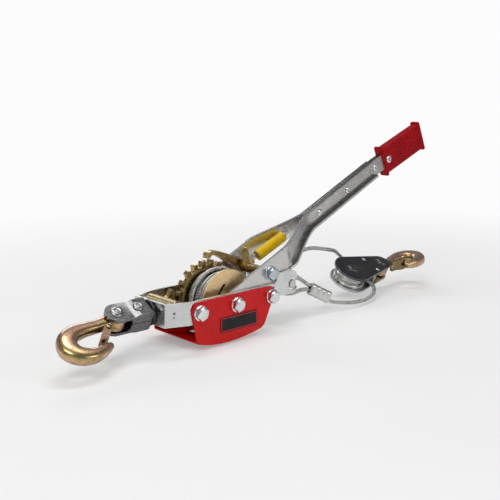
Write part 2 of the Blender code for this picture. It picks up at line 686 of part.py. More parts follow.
def arm_inner_y(s):
    linear, eased = ramp(s, *CRANK)
    at_frame = ARM_OUT - ARM_T
    return at_frame + (ARM_GAP_HALF - at_frame) * (eased * 0.45 + linear * 0.55)


def arm_edges(s):
    """Lower and upper edge of the arm, from the lever's centre line."""
    if s <= 0:
        return -ARM_ROUND_END[s], ARM_ROUND_END[s]
    eased = ramp(s, *NARROWING)[1]
    return -14.0 + 4.0 * eased, 11.0 - 1.0 * eased


def arm_thickness(i):
    """Sheet thickness at station i measured along Y, so more where the arm slants."""
    before = ARM_STATIONS[max(i - 1, 0)]
    after = ARM_STATIONS[min(i + 1, len(ARM_STATIONS) - 1)]
    slope = (arm_inner_y(after) - arm_inner_y(before)) / (after - before)
    return ARM_T * math.sqrt(1 + slope * slope)


def lever_section(s, t0, y0, t1, y1):
    return [on_lever(s, t, y) for t, y in rectangle(t0, y0, t1, y1)]


def arm_lip(sign, edge, low, high, width):
    """Outward lip along an edge of the arm (0 lower, 1 upper), from low to high of it."""
    sections = []
    for i, s in enumerate(ARM_STATIONS):
        if LIP_RUN[0] <= s <= LIP_RUN[1]:
            t = arm_edges(s)[edge]
            inner, thick = arm_inner_y(s), arm_thickness(i)
            growth = min(1.0, (s - LIP_RUN[0]) / 9.0) * 0.6 + 0.4
            sections.append(lever_section(s, t + low, (inner + thick * 0.5) * sign,
                                          t + high, (inner + thick + width * growth) * sign))
    return rings("cutter", sections, None, smooth=False)


def lever_rivet_hole(s):
    centre = on_lever(s, 0, 0)
    return cross_hole(centre.x, centre.z, RIVET_R + FIT, 40, 20)


def build_arm(name, sign):
    sections = []
    for i, s in enumerate(ARM_STATIONS):
        lower, upper = arm_edges(s)
        inner = arm_inner_y(s)
        sections.append(lever_section(s, lower, inner * sign,
                                      upper, (inner + arm_thickness(i)) * sign))
    arm = rings(name, sections, ZINC, smooth=False)
    combine(arm, [arm_lip(sign, edge=0, low=-0.6, high=2.2, width=5.0)], "UNION")
    combine(arm, [arm_lip(sign, edge=1, low=-1.8, high=0.5, width=1.8)], "UNION")
    holes = [cross_hole(0, 0, BOLT_R + 0.4), cross_hole(*PAWL_PIVOT, BOLT_HOLE_R)]
    holes += [lever_rivet_hole(s) for s in (*ARM_RIVETS, GRIP_RIVET)]
    if sign > 0:
        holes.append(hole_cutter(SPRING_TOP, Y_AXIS, 2.3, 40, 20))
    combine(arm, holes)
    shade(arm, 28)


def lever_rivet(name, s, half, head_r):
    centre = on_lever(s, 0, 0)
    rivet(name, SIDE, centre.x, centre.z, half, RIVET_R, head_r, head_h=1.2, pivot=AXLE)


build_arm("near_arm", -1)
build_arm("far_arm", 1)
for number, rivet_s in enumerate(ARM_RIVETS, 1):
    lever_rivet("arm_rivet_%d" % number, rivet_s, half=4.1, head_r=4.6)

GRIP_START = BEND_S + 13.5
RIB_PITCH = 8.0
# offset along the lever, half height, half width
GRIP_FRONT_COLLAR = [(0, 19.6, 6.2), (0.8, 20.4, 7.0), (2.4, 20.4, 7.0), (3.1, 19.6, 6.2),
                     (3.2, 17.4, 5.8)]
GRIP_RIB = [(0, 17.4, 5.8), (0.7, 17.9, 6.2), (2.2, 17.9, 6.2), (2.9, 17.4, 5.8)]
GRIP_END_COLLAR = [(-3.9, 17.4, 5.8), (-3.8, 19.6, 6.2), (-3.0, 20.4, 7.0), (-0.8, 20.4, 7.0),
                   (0, 19.6, 6.2)]


def grip_rings(start, table):
    """Rounded rectangles across the lever, one for each row of the table."""
    corner_r = 3.0
    ring_list = []
    for offset, half_height, half_width in table:
        ring = []
        for t_side, y_side, start_deg in ((1, 1, 0), (-1, 1, 90), (-1, -1, 180), (1, -1, 270)):
            corner = arc(t_side * (half_height - corner_r), y_side * (half_width - corner_r),
                         corner_r, start_deg, start_deg + 90, 2)
            ring += [on_lever(start + offset, t, y) for t, y in corner]
        ring_list.append(ring)
    return ring_list


def build_grip():
    ring_list = grip_rings(GRIP_START, GRIP_FRONT_COLLAR)
    s = GRIP_START + RIB_PITCH
    while s < LEVER_END - 10:
        ring_list += grip_rings(s, GRIP_RIB)
        s += RIB_PITCH
    ring_list += grip_rings(LEVER_END, GRIP_END_COLLAR)
    grip = rings("grip", ring_list, GRIP)
    # pocket for the two arms
    sections = [lever_section(s, -10.4, -4.2, 10.6, 4.2)
                for s in (BEND_S + 1.0, BEND_S + 8.0, LEVER_END - 3.4)]
    pocket = rings("cutter", sections, None, smooth=False)
    combine(grip, [pocket, lever_rivet_hole(GRIP_RIVET)])
    shade(grip, 30)


build_grip()
lever_rivet("grip_rivet", GRIP_RIVET, half=6.7, head_r=4.8)

# ---- drive pawl on its bolt, over-centre spring inside a yellow sleeve ----
# x, z: upper edge, tail, lower edge
DRIVE_PAWL = [
    (0.4, 39.9), (0.4, 43.6), (1.0, 45.4), (3.2, 46.8), (9.0, 47.4), (17.0, 45.8), (29.0, 41.6),
    (38.5, 36.8), (45.0, 33.4), (49.5, 31.6),
    (55.0, 31.6), (63.5, 31.0), (69.5, 29.5), (70.5, 26.0), (66.0, 22.6),
    (60.8, 18.0), (53.5, 16.0), (46.5, 19.8), (41.5, 25.0), (33.0, 30.6), (24.0, 35.4),
    (15.5, 40.4), (9.5, 42.7), (6.2, 42.4), (4.4, 39.7)]
DRIVE_PAWL_EAR = [(45.0, 27.0), (50.5, 46.0), (52.3, 46.4), (62.0, 27.0), (53.5, 22.0)]
SLEEVE_START = Vector((74.8, 12.4, 32.9))
SLEEVE_END = Vector((110.6, 7.0, 51.4))

bolt_and_nut("drive_pawl", *PAWL_PIVOT, ARM_OUT + FIT, AXLE)


def build_drive_pawl():
    x, z = PAWL_PIVOT
    pawl = prism("drive_pawl", DRIVE_PAWL, 11.6, 19.6, GOLD, pivot=(x, 0, z))
    combine(pawl, [rod_cutter((x, -27.0, z), Y_AXIS, 5.5, 54.0, 20)], "UNION")
    combine(pawl, [prism_cutter(DRIVE_PAWL_EAR, 5.6, 8.8)], "UNION")
    combine(pawl, [cross_hole(x, z, BOLT_HOLE_R),
                   hole_cutter((66.8, 15.5, 27.0), Y_AXIS, 1.5, 30, 10)])
    shade(pawl, 30)


def build_pawl_spring():
    along = (SLEEVE_END - SLEEVE_START).normalized()
    length = (SLEEVE_END - SLEEVE_START).length
    turned("spring_sleeve", SLEEVE_START, along,
           [(0, 5.2), (0, 6.4), (length, 6.4), (length, 5.2)], SLEEVE, 20, AXLE, closed=True)
    side = along.orthogonal().normalized()
    coil = helix(Place(SLEEVE_START, side, along.cross(side), along), radius=3.7, start=1.5,
                 length=length - 3.0, turns=11)
    pawl_lead = [(65.6, 14.6, 33.6), (69.0, 14.2, 32.9),
                 SLEEVE_START - along * 2.2 + Vector((0, 0.2, 0.6))]
    arm_lead = [SLEEVE_END + along * 1.6, (114.6, 8.6, 54.9), (118.8, 9.5, 56.0)]
    tube("pawl_spring", pawl_lead + coil + arm_lead, 0.75, BRIGHT, 4)
    turned("spring_anchor_pin", (SPRING_TOP[0], 6.6, SPRING_TOP[2]), Y_AXIS,
           [(0, 2.8), (0.4, 3.2), (1.4, 3.2), (1.4, 2.0), (18.5, 2.0), (19.0, 1.6)],
           BRIGHT, 12, AXLE)


build_drive_pawl()
build_pawl_spring()

# ---- pulley block: plates, sheave, pins, hook ----
BLOCK_AT = (229.0, 4.5, -11.0)
BLOCK = tilted(BLOCK_AT, 27.0)
BLOCK_PITCH = 58.0            # sheave axle to hook pin
BLOCK_HOOK_YAW_DEG = 15.0
BLOCK_HOOK_TWIST_DEG = 27.0   # the hook bar is twisted against its eye by this
PLATE_T = 2.5
PLATE_IN = 7.5                # inner face of a plate, from the block's middle
PLATE_BIG_R = 24.0            # plate end round the sheave
PLATE_SMALL_R = 12.2          # plate end round the hook pin
SHEAVE_R = 20.0
KEEPER_R = 1.5
KEEPER_PINS = {"keeper_pin_far": (33.0, 10.5), "keeper_pin_near": (36.0, -12.0)}


def block_plate(name, bottom, mat):
    # the straight sides are tangent to both round ends
    lean = math.degrees(math.acos((PLATE_BIG_R - PLATE_SMALL_R) / BLOCK_PITCH))
    outline = arc(0, 0, PLATE_BIG_R, lean, 360 - lean, 18) \
        + arc(BLOCK_PITCH, 0, PLATE_SMALL_R, -lean, lean, 10)
    plate = prism(name, outline, bottom, bottom + PLATE_T, mat, BLOCK, BLOCK_AT)
    holes = [(0, 0, PIN_R + FIT), (BLOCK_PITCH, 0, PIN_R + FIT)]
    holes += [(x, y, KEEPER_R + FIT) for x, y in KEEPER_PINS.values()]
    combine(plate, [rod_cutter(BLOCK(x, y, bottom - 3), BLOCK.z, radius, 9, 14)
                    for x, y, radius in holes])
    shade(plate, 25)


def build_sheave():
    turned("sheave", BLOCK(0, 0, -7.0), BLOCK.z,
           [(0, 4.4), (0, SHEAVE_R - 0.6), (0.6, SHEAVE_R), (2.4, SHEAVE_R), (3.2, SHEAVE_R - 1.0),
            (4.1, 16.6), (4.9, 15.3), (9.1, 15.3), (9.9, 16.6), (10.8, SHEAVE_R - 1.0),
            (11.6, SHEAVE_R), (13.4, SHEAVE_R), (14.0, SHEAVE_R - 0.6), (14.0, 4.4)],
           ZINC, 26, BLOCK_AT, closed=True)


def build_block_pins():
    half = PLATE_IN + PLATE_T + FIT
    rivet("sheave_axle", BLOCK, 0, 0, half, PIN_R, head_r=6.6, head_h=1.8, mat=GREY)
    rivet("block_hook_pin", BLOCK, BLOCK_PITCH, 0, half, PIN_R, head_r=7.0, head_h=1.9, mat=GREY)
    for name, (x, y) in KEEPER_PINS.items():
        rivet(name, BLOCK, x, y, half, KEEPER_R, head_r=2.5, head_h=0.8, seg=10)


def build_block_hook():
    c, s = polar(1.0, BLOCK_HOOK_YAW_DEG)
    along = BLOCK.x * c + BLOCK.y * s
    eye_side = BLOCK.x * s - BLOCK.y * c
    c, s = polar(1.0, BLOCK_HOOK_TWIST_DEG)
    hook_set("block", BLOCK(BLOCK_PITCH, 0, 0), along, eye_side * c + BLOCK.z * s, eye_side)


block_plate("block_upper_plate", PLATE_IN, DARK)
block_plate("block_lower_plate", -PLATE_IN - PLATE_T, ZINC)
build_sheave()
build_block_pins()
build_block_hook()

# ---- cable run: drum, round the sheave, ferrule, eye on the anchor pin ----
FERRULE_START = Vector((157.0, -24.0, -22.5))
FERRULE_END = Vector((133.0, -15.0, -9.0))
FERRULE_LEN = (FERRULE_END - FERRULE_START).length
SPLIT = 2.75              # each rope's centre from the ferrule's middle
ferrule_axis = (FERRULE_END - FERRULE_START).normalized()
ferrule_up = (UP - ferrule_axis * ferrule_axis.z).normalized()
FERRULE = Place(FERRULE_START, ferrule_axis.cross(ferrule_up), ferrule_up, ferrule_axis)
CABLE_OUT = [
    (4.4, -4.0, 31.45), (12.8, -3.6, 29.1), (30.0, -2.6, 20.6), (53.5, -1.0, 11.4),
    (66.0, 0.0, 12.4), (82.0, 0.8, 16.8), (100.0, 1.6, 22.0), (120.0, 2.0, 27.0),
    (139.7, 2.6, 31.7), (155.0, 4.0, 32.0), (170.0, 7.0, 29.6), (195.0, 13.0, 24.0),
    (219.0, 22.0, 17.6)]
# in the BLOCK frame
CABLE_ROUND_SHEAVE = [
    (6, 30.5, 7.2), (13.5, 24.5, 2.0), (17.8, 14.0, 0.1), (18.7, 5.0, 0), (18.3, -3.0, 0),
    (17.4, -10.5, 0), (17.6, -18.5, -0.2), (17.8, -26.5, -1.6)]
CABLE_BACK = [(239.5, -25.4, -29.6), (228.0, -29.5, -32.0), (211.0, -32.6, -33.2),
              (189.0, -33.2, -32.2), (171.0, -30.5, -29.4)]
CABLE_EYE = [
    (120.0, -12.6, -9.6), (106.0, -11.6, -11.2), (92.0, -11.2, -8.6), (80.5, -11.0, -4.6),
    (73.4, -10.8, 2.6), (74.0, -10.6, 12.4), (82.5, -10.4, 18.6), (94.0, -10.4, 17.2),
    (108.0, -10.8, 10.4), (121.0, -12.0, 2.6)]
# distances along the ferrule of the rope's two passes through it
LOWER_PASS = (-6.0, -1.0, 7.0, 14.0, 21.0, FERRULE_LEN, FERRULE_LEN + 3.0)
UPPER_PASS = (FERRULE_LEN + 3.0, FERRULE_LEN, 21.0, 14.0, 7.0, 1.2)


def build_cable_run():
    route = CABLE_OUT + [BLOCK(*point) for point in CABLE_ROUND_SHEAVE] + CABLE_BACK
    route += [FERRULE(0, -SPLIT, distance) for distance in LOWER_PASS]
    route += CABLE_EYE
    route += [FERRULE(0, SPLIT, distance) for distance in UPPER_PASS]
    tube("cable_run", smooth_path(route), CABLE_R, ROPE)


def build_ferrule():
    # distance, end radius of the oval; the last two rows are the bore
    profile = [(0, 4.0), (0.7, 4.6), (FERRULE_LEN - 0.7, 4.6), (FERRULE_LEN, 4.0),
               (FERRULE_LEN, 2.95), (0, 2.95)]
    ring_list = []
    for distance, radius in profile:
        oval = arc(0, SPLIT, radius, 0, 180, 7) + arc(0, -SPLIT, radius, 180, 360, 7)
        ring_list.append([FERRULE(x, y, distance) for x, y in oval])
    ferrule = rings("cable_ferrule", ring_list, ALU, smooth=False, closed=True)
    shade(ferrule, 35)


build_cable_run()
build_ferrule()
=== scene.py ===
"""Looks of a come-along winch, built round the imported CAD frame.

The design numbers are millimetres from the centre of the drum axle. X runs along the
pull axis, with the front hook at -X and the pulley block at +X. Y runs along the drum
axle, with the near side at -Y. Z is up. Meshes are made in metres about ORIGIN.
"""
import json
from math import copysign, cos, pi, radians, sin, tau
import bpy
import bmesh
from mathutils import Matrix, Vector

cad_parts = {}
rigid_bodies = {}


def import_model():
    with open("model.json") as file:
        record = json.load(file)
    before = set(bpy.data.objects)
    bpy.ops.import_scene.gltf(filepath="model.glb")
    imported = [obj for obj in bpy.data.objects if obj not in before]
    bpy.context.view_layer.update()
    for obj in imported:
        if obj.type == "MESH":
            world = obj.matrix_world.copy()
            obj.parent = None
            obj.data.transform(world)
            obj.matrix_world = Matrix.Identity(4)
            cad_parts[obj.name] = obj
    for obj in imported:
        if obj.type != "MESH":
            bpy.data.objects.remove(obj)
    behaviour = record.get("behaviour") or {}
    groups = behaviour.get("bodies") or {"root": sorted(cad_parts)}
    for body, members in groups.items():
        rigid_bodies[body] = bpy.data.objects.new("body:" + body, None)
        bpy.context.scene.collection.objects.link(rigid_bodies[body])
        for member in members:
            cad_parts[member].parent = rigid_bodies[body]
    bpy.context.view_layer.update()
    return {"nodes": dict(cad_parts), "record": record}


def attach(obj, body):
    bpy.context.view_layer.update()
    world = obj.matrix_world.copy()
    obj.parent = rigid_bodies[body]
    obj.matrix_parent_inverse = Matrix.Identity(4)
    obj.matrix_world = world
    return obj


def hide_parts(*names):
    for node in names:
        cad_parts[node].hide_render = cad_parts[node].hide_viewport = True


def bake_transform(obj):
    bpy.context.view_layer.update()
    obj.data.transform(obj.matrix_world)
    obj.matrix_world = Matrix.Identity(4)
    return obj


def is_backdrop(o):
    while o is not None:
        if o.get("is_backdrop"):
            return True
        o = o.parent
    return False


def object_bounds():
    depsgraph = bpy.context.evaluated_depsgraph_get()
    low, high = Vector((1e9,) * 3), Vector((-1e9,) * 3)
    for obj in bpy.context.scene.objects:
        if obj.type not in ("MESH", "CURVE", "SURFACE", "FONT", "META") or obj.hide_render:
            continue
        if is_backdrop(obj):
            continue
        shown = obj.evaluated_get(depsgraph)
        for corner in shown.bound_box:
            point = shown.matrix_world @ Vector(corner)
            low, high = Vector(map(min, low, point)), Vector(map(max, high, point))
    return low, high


for old in list(bpy.data.objects):
    bpy.data.objects.remove(old, do_unlink=True)

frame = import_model()

MM = 0.001
ORIGIN = (89.497, 1.2, -38.463)   # on the floor under the middle of the winch
OFFSET = Vector(ORIGIN)

# ---------------------------------------------------------------- driving dimensions
END_X = -84.5             # outer face of the end plate
WALL_T = 3.0              # frame sheet thickness
FRONT_BOLT_X = -49.0      # stop pawl pivot bolt
REAR_BOLT_X = 50.0        # rear cross bolt
PAWL_PIVOT = (53.5, 23.5)  # drive pawl bolt, X and Z
SPACER_HALF = 31.2        # half length of the rear spacer tube
BOLT_GAP = 0.3            # between a plate and the bolt head or nut on it
GUARD_SEAT = 36.4 + BOLT_GAP   # outer face of the guard, with the gap
ARM_SEAT = 31.0 + BOLT_GAP     # outer face of a lever arm, with the gap
BOLT_R = 4.0
HEX_FLAT = 13.0 / 2       # middle of a hexagon to its flat
NUT_H = 6.8

HANDLE_DEG = 24.2         # lever above the pull axis
GRIP_DROP_DEG = 3.0       # the grip part of the lever leans down by this
BEND_AT = 300.0           # distance along the lever where it leans
LEVER_RISE = 1.5          # lever centre line above the line through the axle
LEVER_END = 402.0
GRIP_START = BEND_AT + 13.5
ARM_RIVETS = (179.0, 236.0, 295.5)   # distances along the lever
GRIP_RIVET = 322.6

DRUM_R = 20.0
WOUND_R = 29.0            # outside of the wound cable
CABLE_R = 2.4
RATCHET_NEAR_Y = 12.0     # near face of the ratchet wheel
FLANGE_Y = (-21.0, -19.0)  # drum flange faces

HOOK_TILT_DEG = 28.0      # front hook and clevis turned about the pull axis
HOOK_PIN_X = -126.0
CLEVIS_RIVET_X = -101.8
LATCH_AT = (14.5, 12.2)   # latch pin in the plane of a hook
BLOCK_AT = (229.0, 4.5, -11.0)
BLOCK_TILT_DEG = 27.0
BLOCK_PITCH = 58.0        # sheave axle to hook pin
BLOCK_HALF = 10.3         # middle of the block to the inner side of its pin heads
BLOCK_HOOK_YAW_DEG = 15.0
BLOCK_HOOK_TWIST_DEG = 27.0   # the hook bar is twisted against its eye by this
SHEAVE_R = 20.0


# ---------------------------------------------------------------- local frames
class Place:
    """A local frame: origin and three unit axes in world millimetres."""

    def __init__(self, origin, x, y, z):
        self.origin, self.x, self.y, self.z = Vector(origin), Vector(x), Vector(y), Vector(z)

    def __call__(self, a, b, c):
        return self.origin + self.x * a + self.y * b + self.z * c


def tilted(origin, degrees):
    """World frame moved to origin and turned about X."""
    c, s = cos(radians(degrees)), sin(radians(degrees))
    return Place(origin, (1, 0, 0), (0, c, s), (0, -s, c))


def lever_frame():
    """X along the lever, Y up across it, Z along the drum axle."""
    c, s = cos(radians(HANDLE_DEG)), sin(radians(HANDLE_DEG))
    return Place((0, 0, 0), (c, 0, s), (-s, 0, c), (0, 1, 0))


SIDE = Place((0, 0, 0), (1, 0, 0), (0, 0, 1), (0, 1, 0))
FRONT = tilted((0, 0, 0), HOOK_TILT_DEG)
BLOCK = tilted(BLOCK_AT, BLOCK_TILT_DEG)
LEVER = lever_frame()


def on_lever(along, across, y):
    """World point from a distance along the bent centre line, an offset up and a Y."""
    if along <= BEND_AT:
        p = Vector((along, across + LEVER_RISE))
    else:
        lean = -radians(GRIP_DROP_DEG)
        past = along - BEND_AT
        p = Vector((BEND_AT + past * cos(lean) - across * sin(lean),
                    LEVER_RISE + past * sin(lean) + across * cos(lean)))
    return LEVER(p.x, p.y, y)


# ---------------------------------------------------------------- mesh helpers
def add_object(name, data):
    ob = bpy.data.objects.new(name, data)
    bpy.context.scene.collection.objects.link(ob)
    return ob


def solid(name, points, faces):
    """Flat shaded mesh object from points in millimetres."""
    bm = bmesh.new()
    corners = [bm.verts.new(tuple((c - o) * MM for c, o in zip(p, ORIGIN))) for p in points]
    for face in faces:
        bm.faces.new([corners[i] for i in face])
    bmesh.ops.remove_doubles(bm, verts=bm.verts, dist=2e-7)
    bmesh.ops.recalc_face_normals(bm, faces=bm.faces)
    mesh = bpy.data.meshes.new(name)
    bm.to_mesh(mesh)
    bm.free()
    ob = bpy.data.objects.new(name, mesh)
    bpy.context.collection.objects.link(ob)
    return ob


def smooth_faces(mesh):
    for face in mesh.polygons:
        face.use_smooth = True


def shade(ob, sharp_deg):
    """Smooth faces, with edges sharper than the angle kept hard."""
    smooth_faces(ob.data)
    ob.data.set_sharp_from_angle(angle=radians(sharp_deg))


def round_edges(ob, width, angle_deg):
    bevel = ob.modifiers.new("edge", "BEVEL")
    bevel.width = width * MM
    bevel.segments = 2
    bevel.limit_method = "ANGLE"
    bevel.angle_limit = radians(angle_deg)
    bevel.harden_normals = True
    return ob


def prism(name, outline, low, high, place=SIDE):
    """A flat outline in the place's X and Y, drawn out along its Z."""
    n = len(outline)
    points = [place(u, v, w) for w in (low, high) for u, v in outline]
    faces = [tuple(range(n)), tuple(range(2 * n - 1, n - 1, -1))]
    faces += [(i, (i + 1) % n, n + (i + 1) % n, n + i) for i in range(n)]
    return solid(name, points, faces)


def skin(name, loops, closed=False):
    """Skin over equal loops of points; closed joins last to first, else both ends are capped."""
    n = len(loops[0])
    m = len(loops)
    faces = []
    for k in range(m if closed else m - 1):
        a, b = k * n, ((k + 1) % m) * n
        faces += [(a + i, a + (i + 1) % n, b + (i + 1) % n, b + i) for i in range(n)]
    if not closed:
        faces += [tuple(range(n)), tuple(range((m - 1) * n, m * n))]
    ob = solid(name, [p for loop in loops for p in loop], faces)
    shade(ob, 38.0)
    return ob


def turned(name, at, axis, profile, seg, closed=False, spin=0.0):
    """Piece turned about an axis. Profile rows: distance, radius; a third entry
    makes the row a hexagon with that distance to its flats."""
    axis = Vector(axis).normalized()
    if abs(axis.z) < 0.9:
        side = (Vector((0, 0, 1)) - axis * axis.z).normalized()
    else:
        side = axis.orthogonal().normalized()
    other = axis.cross(side)
    loops = []
    for distance, size, *hexagon in profile:
        loop = []
        for i in range(seg):
            angle = tau * i / seg
            reach = size / cos(angle % (pi / 3) - pi / 6) if hexagon else size
            angle += spin
            outward = side * cos(angle) + other * sin(angle)
            loop.append(Vector(at) + axis * distance + outward * reach)
        loops.append(loop)
    return skin(name, loops, closed)


def mirrored(half, length, middle=()):
    """A profile that is the same from both ends."""
    return half + list(middle) + [(length - d, r) for d, r in reversed(half)]


def rounded_box(x0, x1, z0, z1, radius, steps):
    corners = ((x1 - radius, z1 - radius, 0), (x0 + radius, z1 - radius, 90),
               (x0 + radius, z0 + radius, 180), (x1 - radius, z0 + radius, 270))
    return [(x + radius * cos(radians(start + 90 * k / steps)),
             z + radius * sin(radians(start + 90 * k / steps)))
            for x, z, start in corners for k in range(steps + 1)]


def frames_along(path):
    """Direction, up and side at each point, with no twist from one to the next."""
    last = len(path) - 1
    headings = [(path[min(i + 1, last)] - path[max(i - 1, 0)]).normalized()
                for i in range(last + 1)]
    up = headings[0].orthogonal().normalized()
    frames = []
    for i, heading in enumerate(headings):
        if i:
            up = headings[i - 1].rotation_difference(heading) @ up
            up = (up - heading * up.dot(heading)).normalized()
        frames.append((heading, up, heading.cross(up)))
    return frames


def tube(name, path, radius, seg):
    path = [Vector(p) for p in path]
    angles = [tau * k / seg for k in range(seg)]
    return skin(name, [[p + (up * cos(a) + side * sin(a)) * radius for a in angles]
                       for p, (_, up, side) in zip(path, frames_along(path))])


def smooth_path(knots, step):
    """Centripetal spline through the knots, with step points to each span."""
    knots = [Vector(p) for p in knots]
    knots = [knots[0] * 2 - knots[1]] + knots + [knots[-1] * 2 - knots[-2]]
    path = []
    for before, start, end, after in zip(knots, knots[1:], knots[2:], knots[3:]):
        gap_in, gap, gap_out = (max((q - p).length, 1e-6) ** 0.5 for p, q in
                                ((before, start), (start, end), (end, after)))
        leave = ((start - before) / gap_in - (end - before) / (gap_in + gap)
                 + (end - start) / gap) * gap
        arrive = ((end - start) / gap - (after - start) / (gap + gap_out)
                  + (after - end) / gap_out) * gap
        for k in range(step):
            t = k / step
            path.append(start * (2 * t ** 3 - 3 * t ** 2 + 1)
                        + leave * (t ** 3 - 2 * t ** 2 + t)
                        + end * (-2 * t ** 3 + 3 * t ** 2) + arrive * (t ** 3 - t ** 2))
    path.append(knots[-2])
    return path


# ---------------------------------------------------------------- shader helpers
class Tree:
    """Short calls for building a node tree. Inputs take a number, a colour or a socket."""

    def __init__(self, tree):
        self.tree = tree

    def add(self, kind, **settings):
        node = self.tree.nodes.new(kind)
        for key, value in settings.items():
            setattr(node, key, value)
        return node

    def link(self, source, target):
        self.tree.links.new(source, target)

    def feed(self, socket, value):
        if isinstance(value, (int, float)):
            socket.default_value = value
        elif isinstance(value, tuple):
            socket.default_value = (*value, 1.0)
        else:
            self.link(value, socket)

    def ramp(self, factor, stops):
        """Stops are (position, colour or grey value)."""
        node = self.add("ShaderNodeValToRGB")
        elements = node.color_ramp.elements
        while len(elements) > 1:
            elements.remove(elements[-1])
        for i, (position, colour) in enumerate(stops):
            element = elements[0] if i == 0 else elements.new(position)
            element.position = position
            rgb = colour if isinstance(colour, tuple) else (colour,) * 3
            element.color = (*rgb, 1.0)
        self.link(factor, node.inputs["Fac"])
        return node.outputs["Color"]

    def rise(self, factor, start, full):
        """0 below start, 1 above full."""
        return self.ramp(factor, [(start, 0.0), (full, 1.0)])

    def mix(self, factor, under, over):
        node = self.add("ShaderNodeMix", data_type="RGBA")
        for index, value in ((0, factor), (6, under), (7, over)):
            self.feed(node.inputs[index], value)
        return node.outputs[2]

    def lay(self, mask, amount, under, over):
        """Mix over onto under where the mask is, by the amount."""
        return self.mix(self.math("MULTIPLY", mask, amount), under, over)

    def math(self, operation, a, b=0.5):
        node = self.add("ShaderNodeMath", operation=operation)
        self.feed(node.inputs[0], a)
        self.feed(node.inputs[1], b)
        return node.outputs[0]

    def map_range(self, value, source, target=(0.0, 1.0), **settings):
        node = self.add("ShaderNodeMapRange", **settings)
        node.inputs["From Min"].default_value, node.inputs["From Max"].default_value = source
        node.inputs["To Min"].default_value, node.inputs["To Max"].default_value = target
        self.link(value, node.inputs["Value"])
        return node.outputs["Result"]


class Surface(Tree):
    """A new material on the Principled shader, textured in object space."""

    def __init__(self, name):
        self.material = bpy.data.materials.new(name)
        self.material.use_nodes = True
        super().__init__(self.material.node_tree)
        self.shader = self.tree.nodes["Principled BSDF"]
        self.coords = self.add("ShaderNodeTexCoord").outputs["Object"]

    def mapping(self, scale, turn):
        node = self.add("ShaderNodeMapping")
        node.inputs["Scale"].default_value = scale
        node.inputs["Rotation"].default_value = turn
        self.link(self.coords, node.inputs["Vector"])
        return node.outputs["Vector"]

    def noise(self, scale, detail, rough, distortion=0.0, vector=None):
        node = self.add("ShaderNodeTexNoise")
        node.inputs["Scale"].default_value = scale
        node.inputs["Detail"].default_value = detail
        node.inputs["Roughness"].default_value = rough
        node.inputs["Distortion"].default_value = distortion
        self.link(vector or self.coords, node.inputs["Vector"])
        return node.outputs["Fac"]

    def span(self, noise, low, high):
        """Spread the middle half of a noise between two values."""
        return self.map_range(noise, (0.25, 0.75), (low, high))

    def edges(self, radius):
        """1 near edges, 0 on flats."""
        bevel = self.add("ShaderNodeBevel", samples=4)
        bevel.inputs["Radius"].default_value = radius
        geometry = self.add("ShaderNodeNewGeometry")
        dot = self.add("ShaderNodeVectorMath", operation="DOT_PRODUCT")
        self.link(bevel.outputs["Normal"], dot.inputs[0])
        self.link(geometry.outputs["Normal"], dot.inputs[1])
        return self.ramp(dot.outputs["Value"], [(0.80, 1.0), (0.985, 0.0)])

    def bump(self, height, strength, distance, normal=None):
        node = self.add("ShaderNodeBump")
        node.inputs["Strength"].default_value = strength
        node.inputs["Distance"].default_value = distance
        self.link(height, node.inputs["Height"])
        if normal:
            self.link(normal, node.inputs["Normal"])
        return node.outputs["Normal"]

    def done(self, colour, rough, normal, metallic, coat=0.0, specular=0.5):
        for key, value in (("Base Color", colour), ("Roughness", rough), ("Normal", normal),
                           ("Metallic", metallic), ("Coat Weight", coat),
                           ("Coat Roughness", 0.08), ("Specular IOR Level", specular)):
            self.feed(self.shader.inputs[key], value)
        return self.material


def scaled(colour, factor):
    return tuple(c * factor for c in colour)


def satin_metal(name, light, dark, rough, grain_scale=(300, 300, 300), grain_turn=(0, 0, 0),
                grain_amount=0.22, blotch_scale=55.0, spots=0.0, bump=0.12,
                edge=(0.9, 0.9, 0.88), edge_amount=0.6):
    """Metal blotched between two tones, with a fine grain and edges mixed towards the edge
    colour: lighter rubbed edges, and painted shade where the edge colour is dark.
    """
    look = Surface(name)
    blotch = look.noise(scale=blotch_scale, detail=5.0, rough=0.6, distortion=0.6)
    grain = look.noise(scale=1.0, detail=3.0, rough=0.6,
                       vector=look.mapping(grain_scale, grain_turn))
    fine = look.noise(scale=2600.0, detail=2.0, rough=0.5)
    colour = look.mix(look.rise(blotch, start=0.32, full=0.68), dark, light)
    colour = look.lay(look.ramp(grain, [(0.35, 1.0), (0.62, 0.0)]), grain_amount,
                      colour, scaled(dark, 0.62))
    if spots:
        speck = look.rise(look.noise(scale=420.0, detail=3.0, rough=0.7), start=0.66, full=0.73)
        colour = look.lay(speck, spots, colour, scaled(dark, 0.35))
    colour = look.lay(look.edges(radius=0.0009), edge_amount, colour, edge)
    roughness = look.math("ADD", look.span(blotch, *rough),
                          look.span(grain, low=-0.05, high=0.06))
    normal = look.bump(grain, strength=bump, distance=0.00015)
    normal = look.bump(fine, strength=bump * 0.7, distance=0.00006, normal=normal)
    return look.done(colour, roughness, normal, metallic=1.0)


# ramp position, colour: olive gold to copper pink to grey green
CHROMATE_DRIFT = [
    (0.10, (0.30, 0.27, 0.15)), (0.28, (0.42, 0.33, 0.15)), (0.44, (0.60, 0.42, 0.20)),
    (0.58, (0.72, 0.42, 0.31)), (0.70, (0.55, 0.38, 0.30)), (0.82, (0.34, 0.38, 0.26)),
    (0.95, (0.55, 0.58, 0.46))]


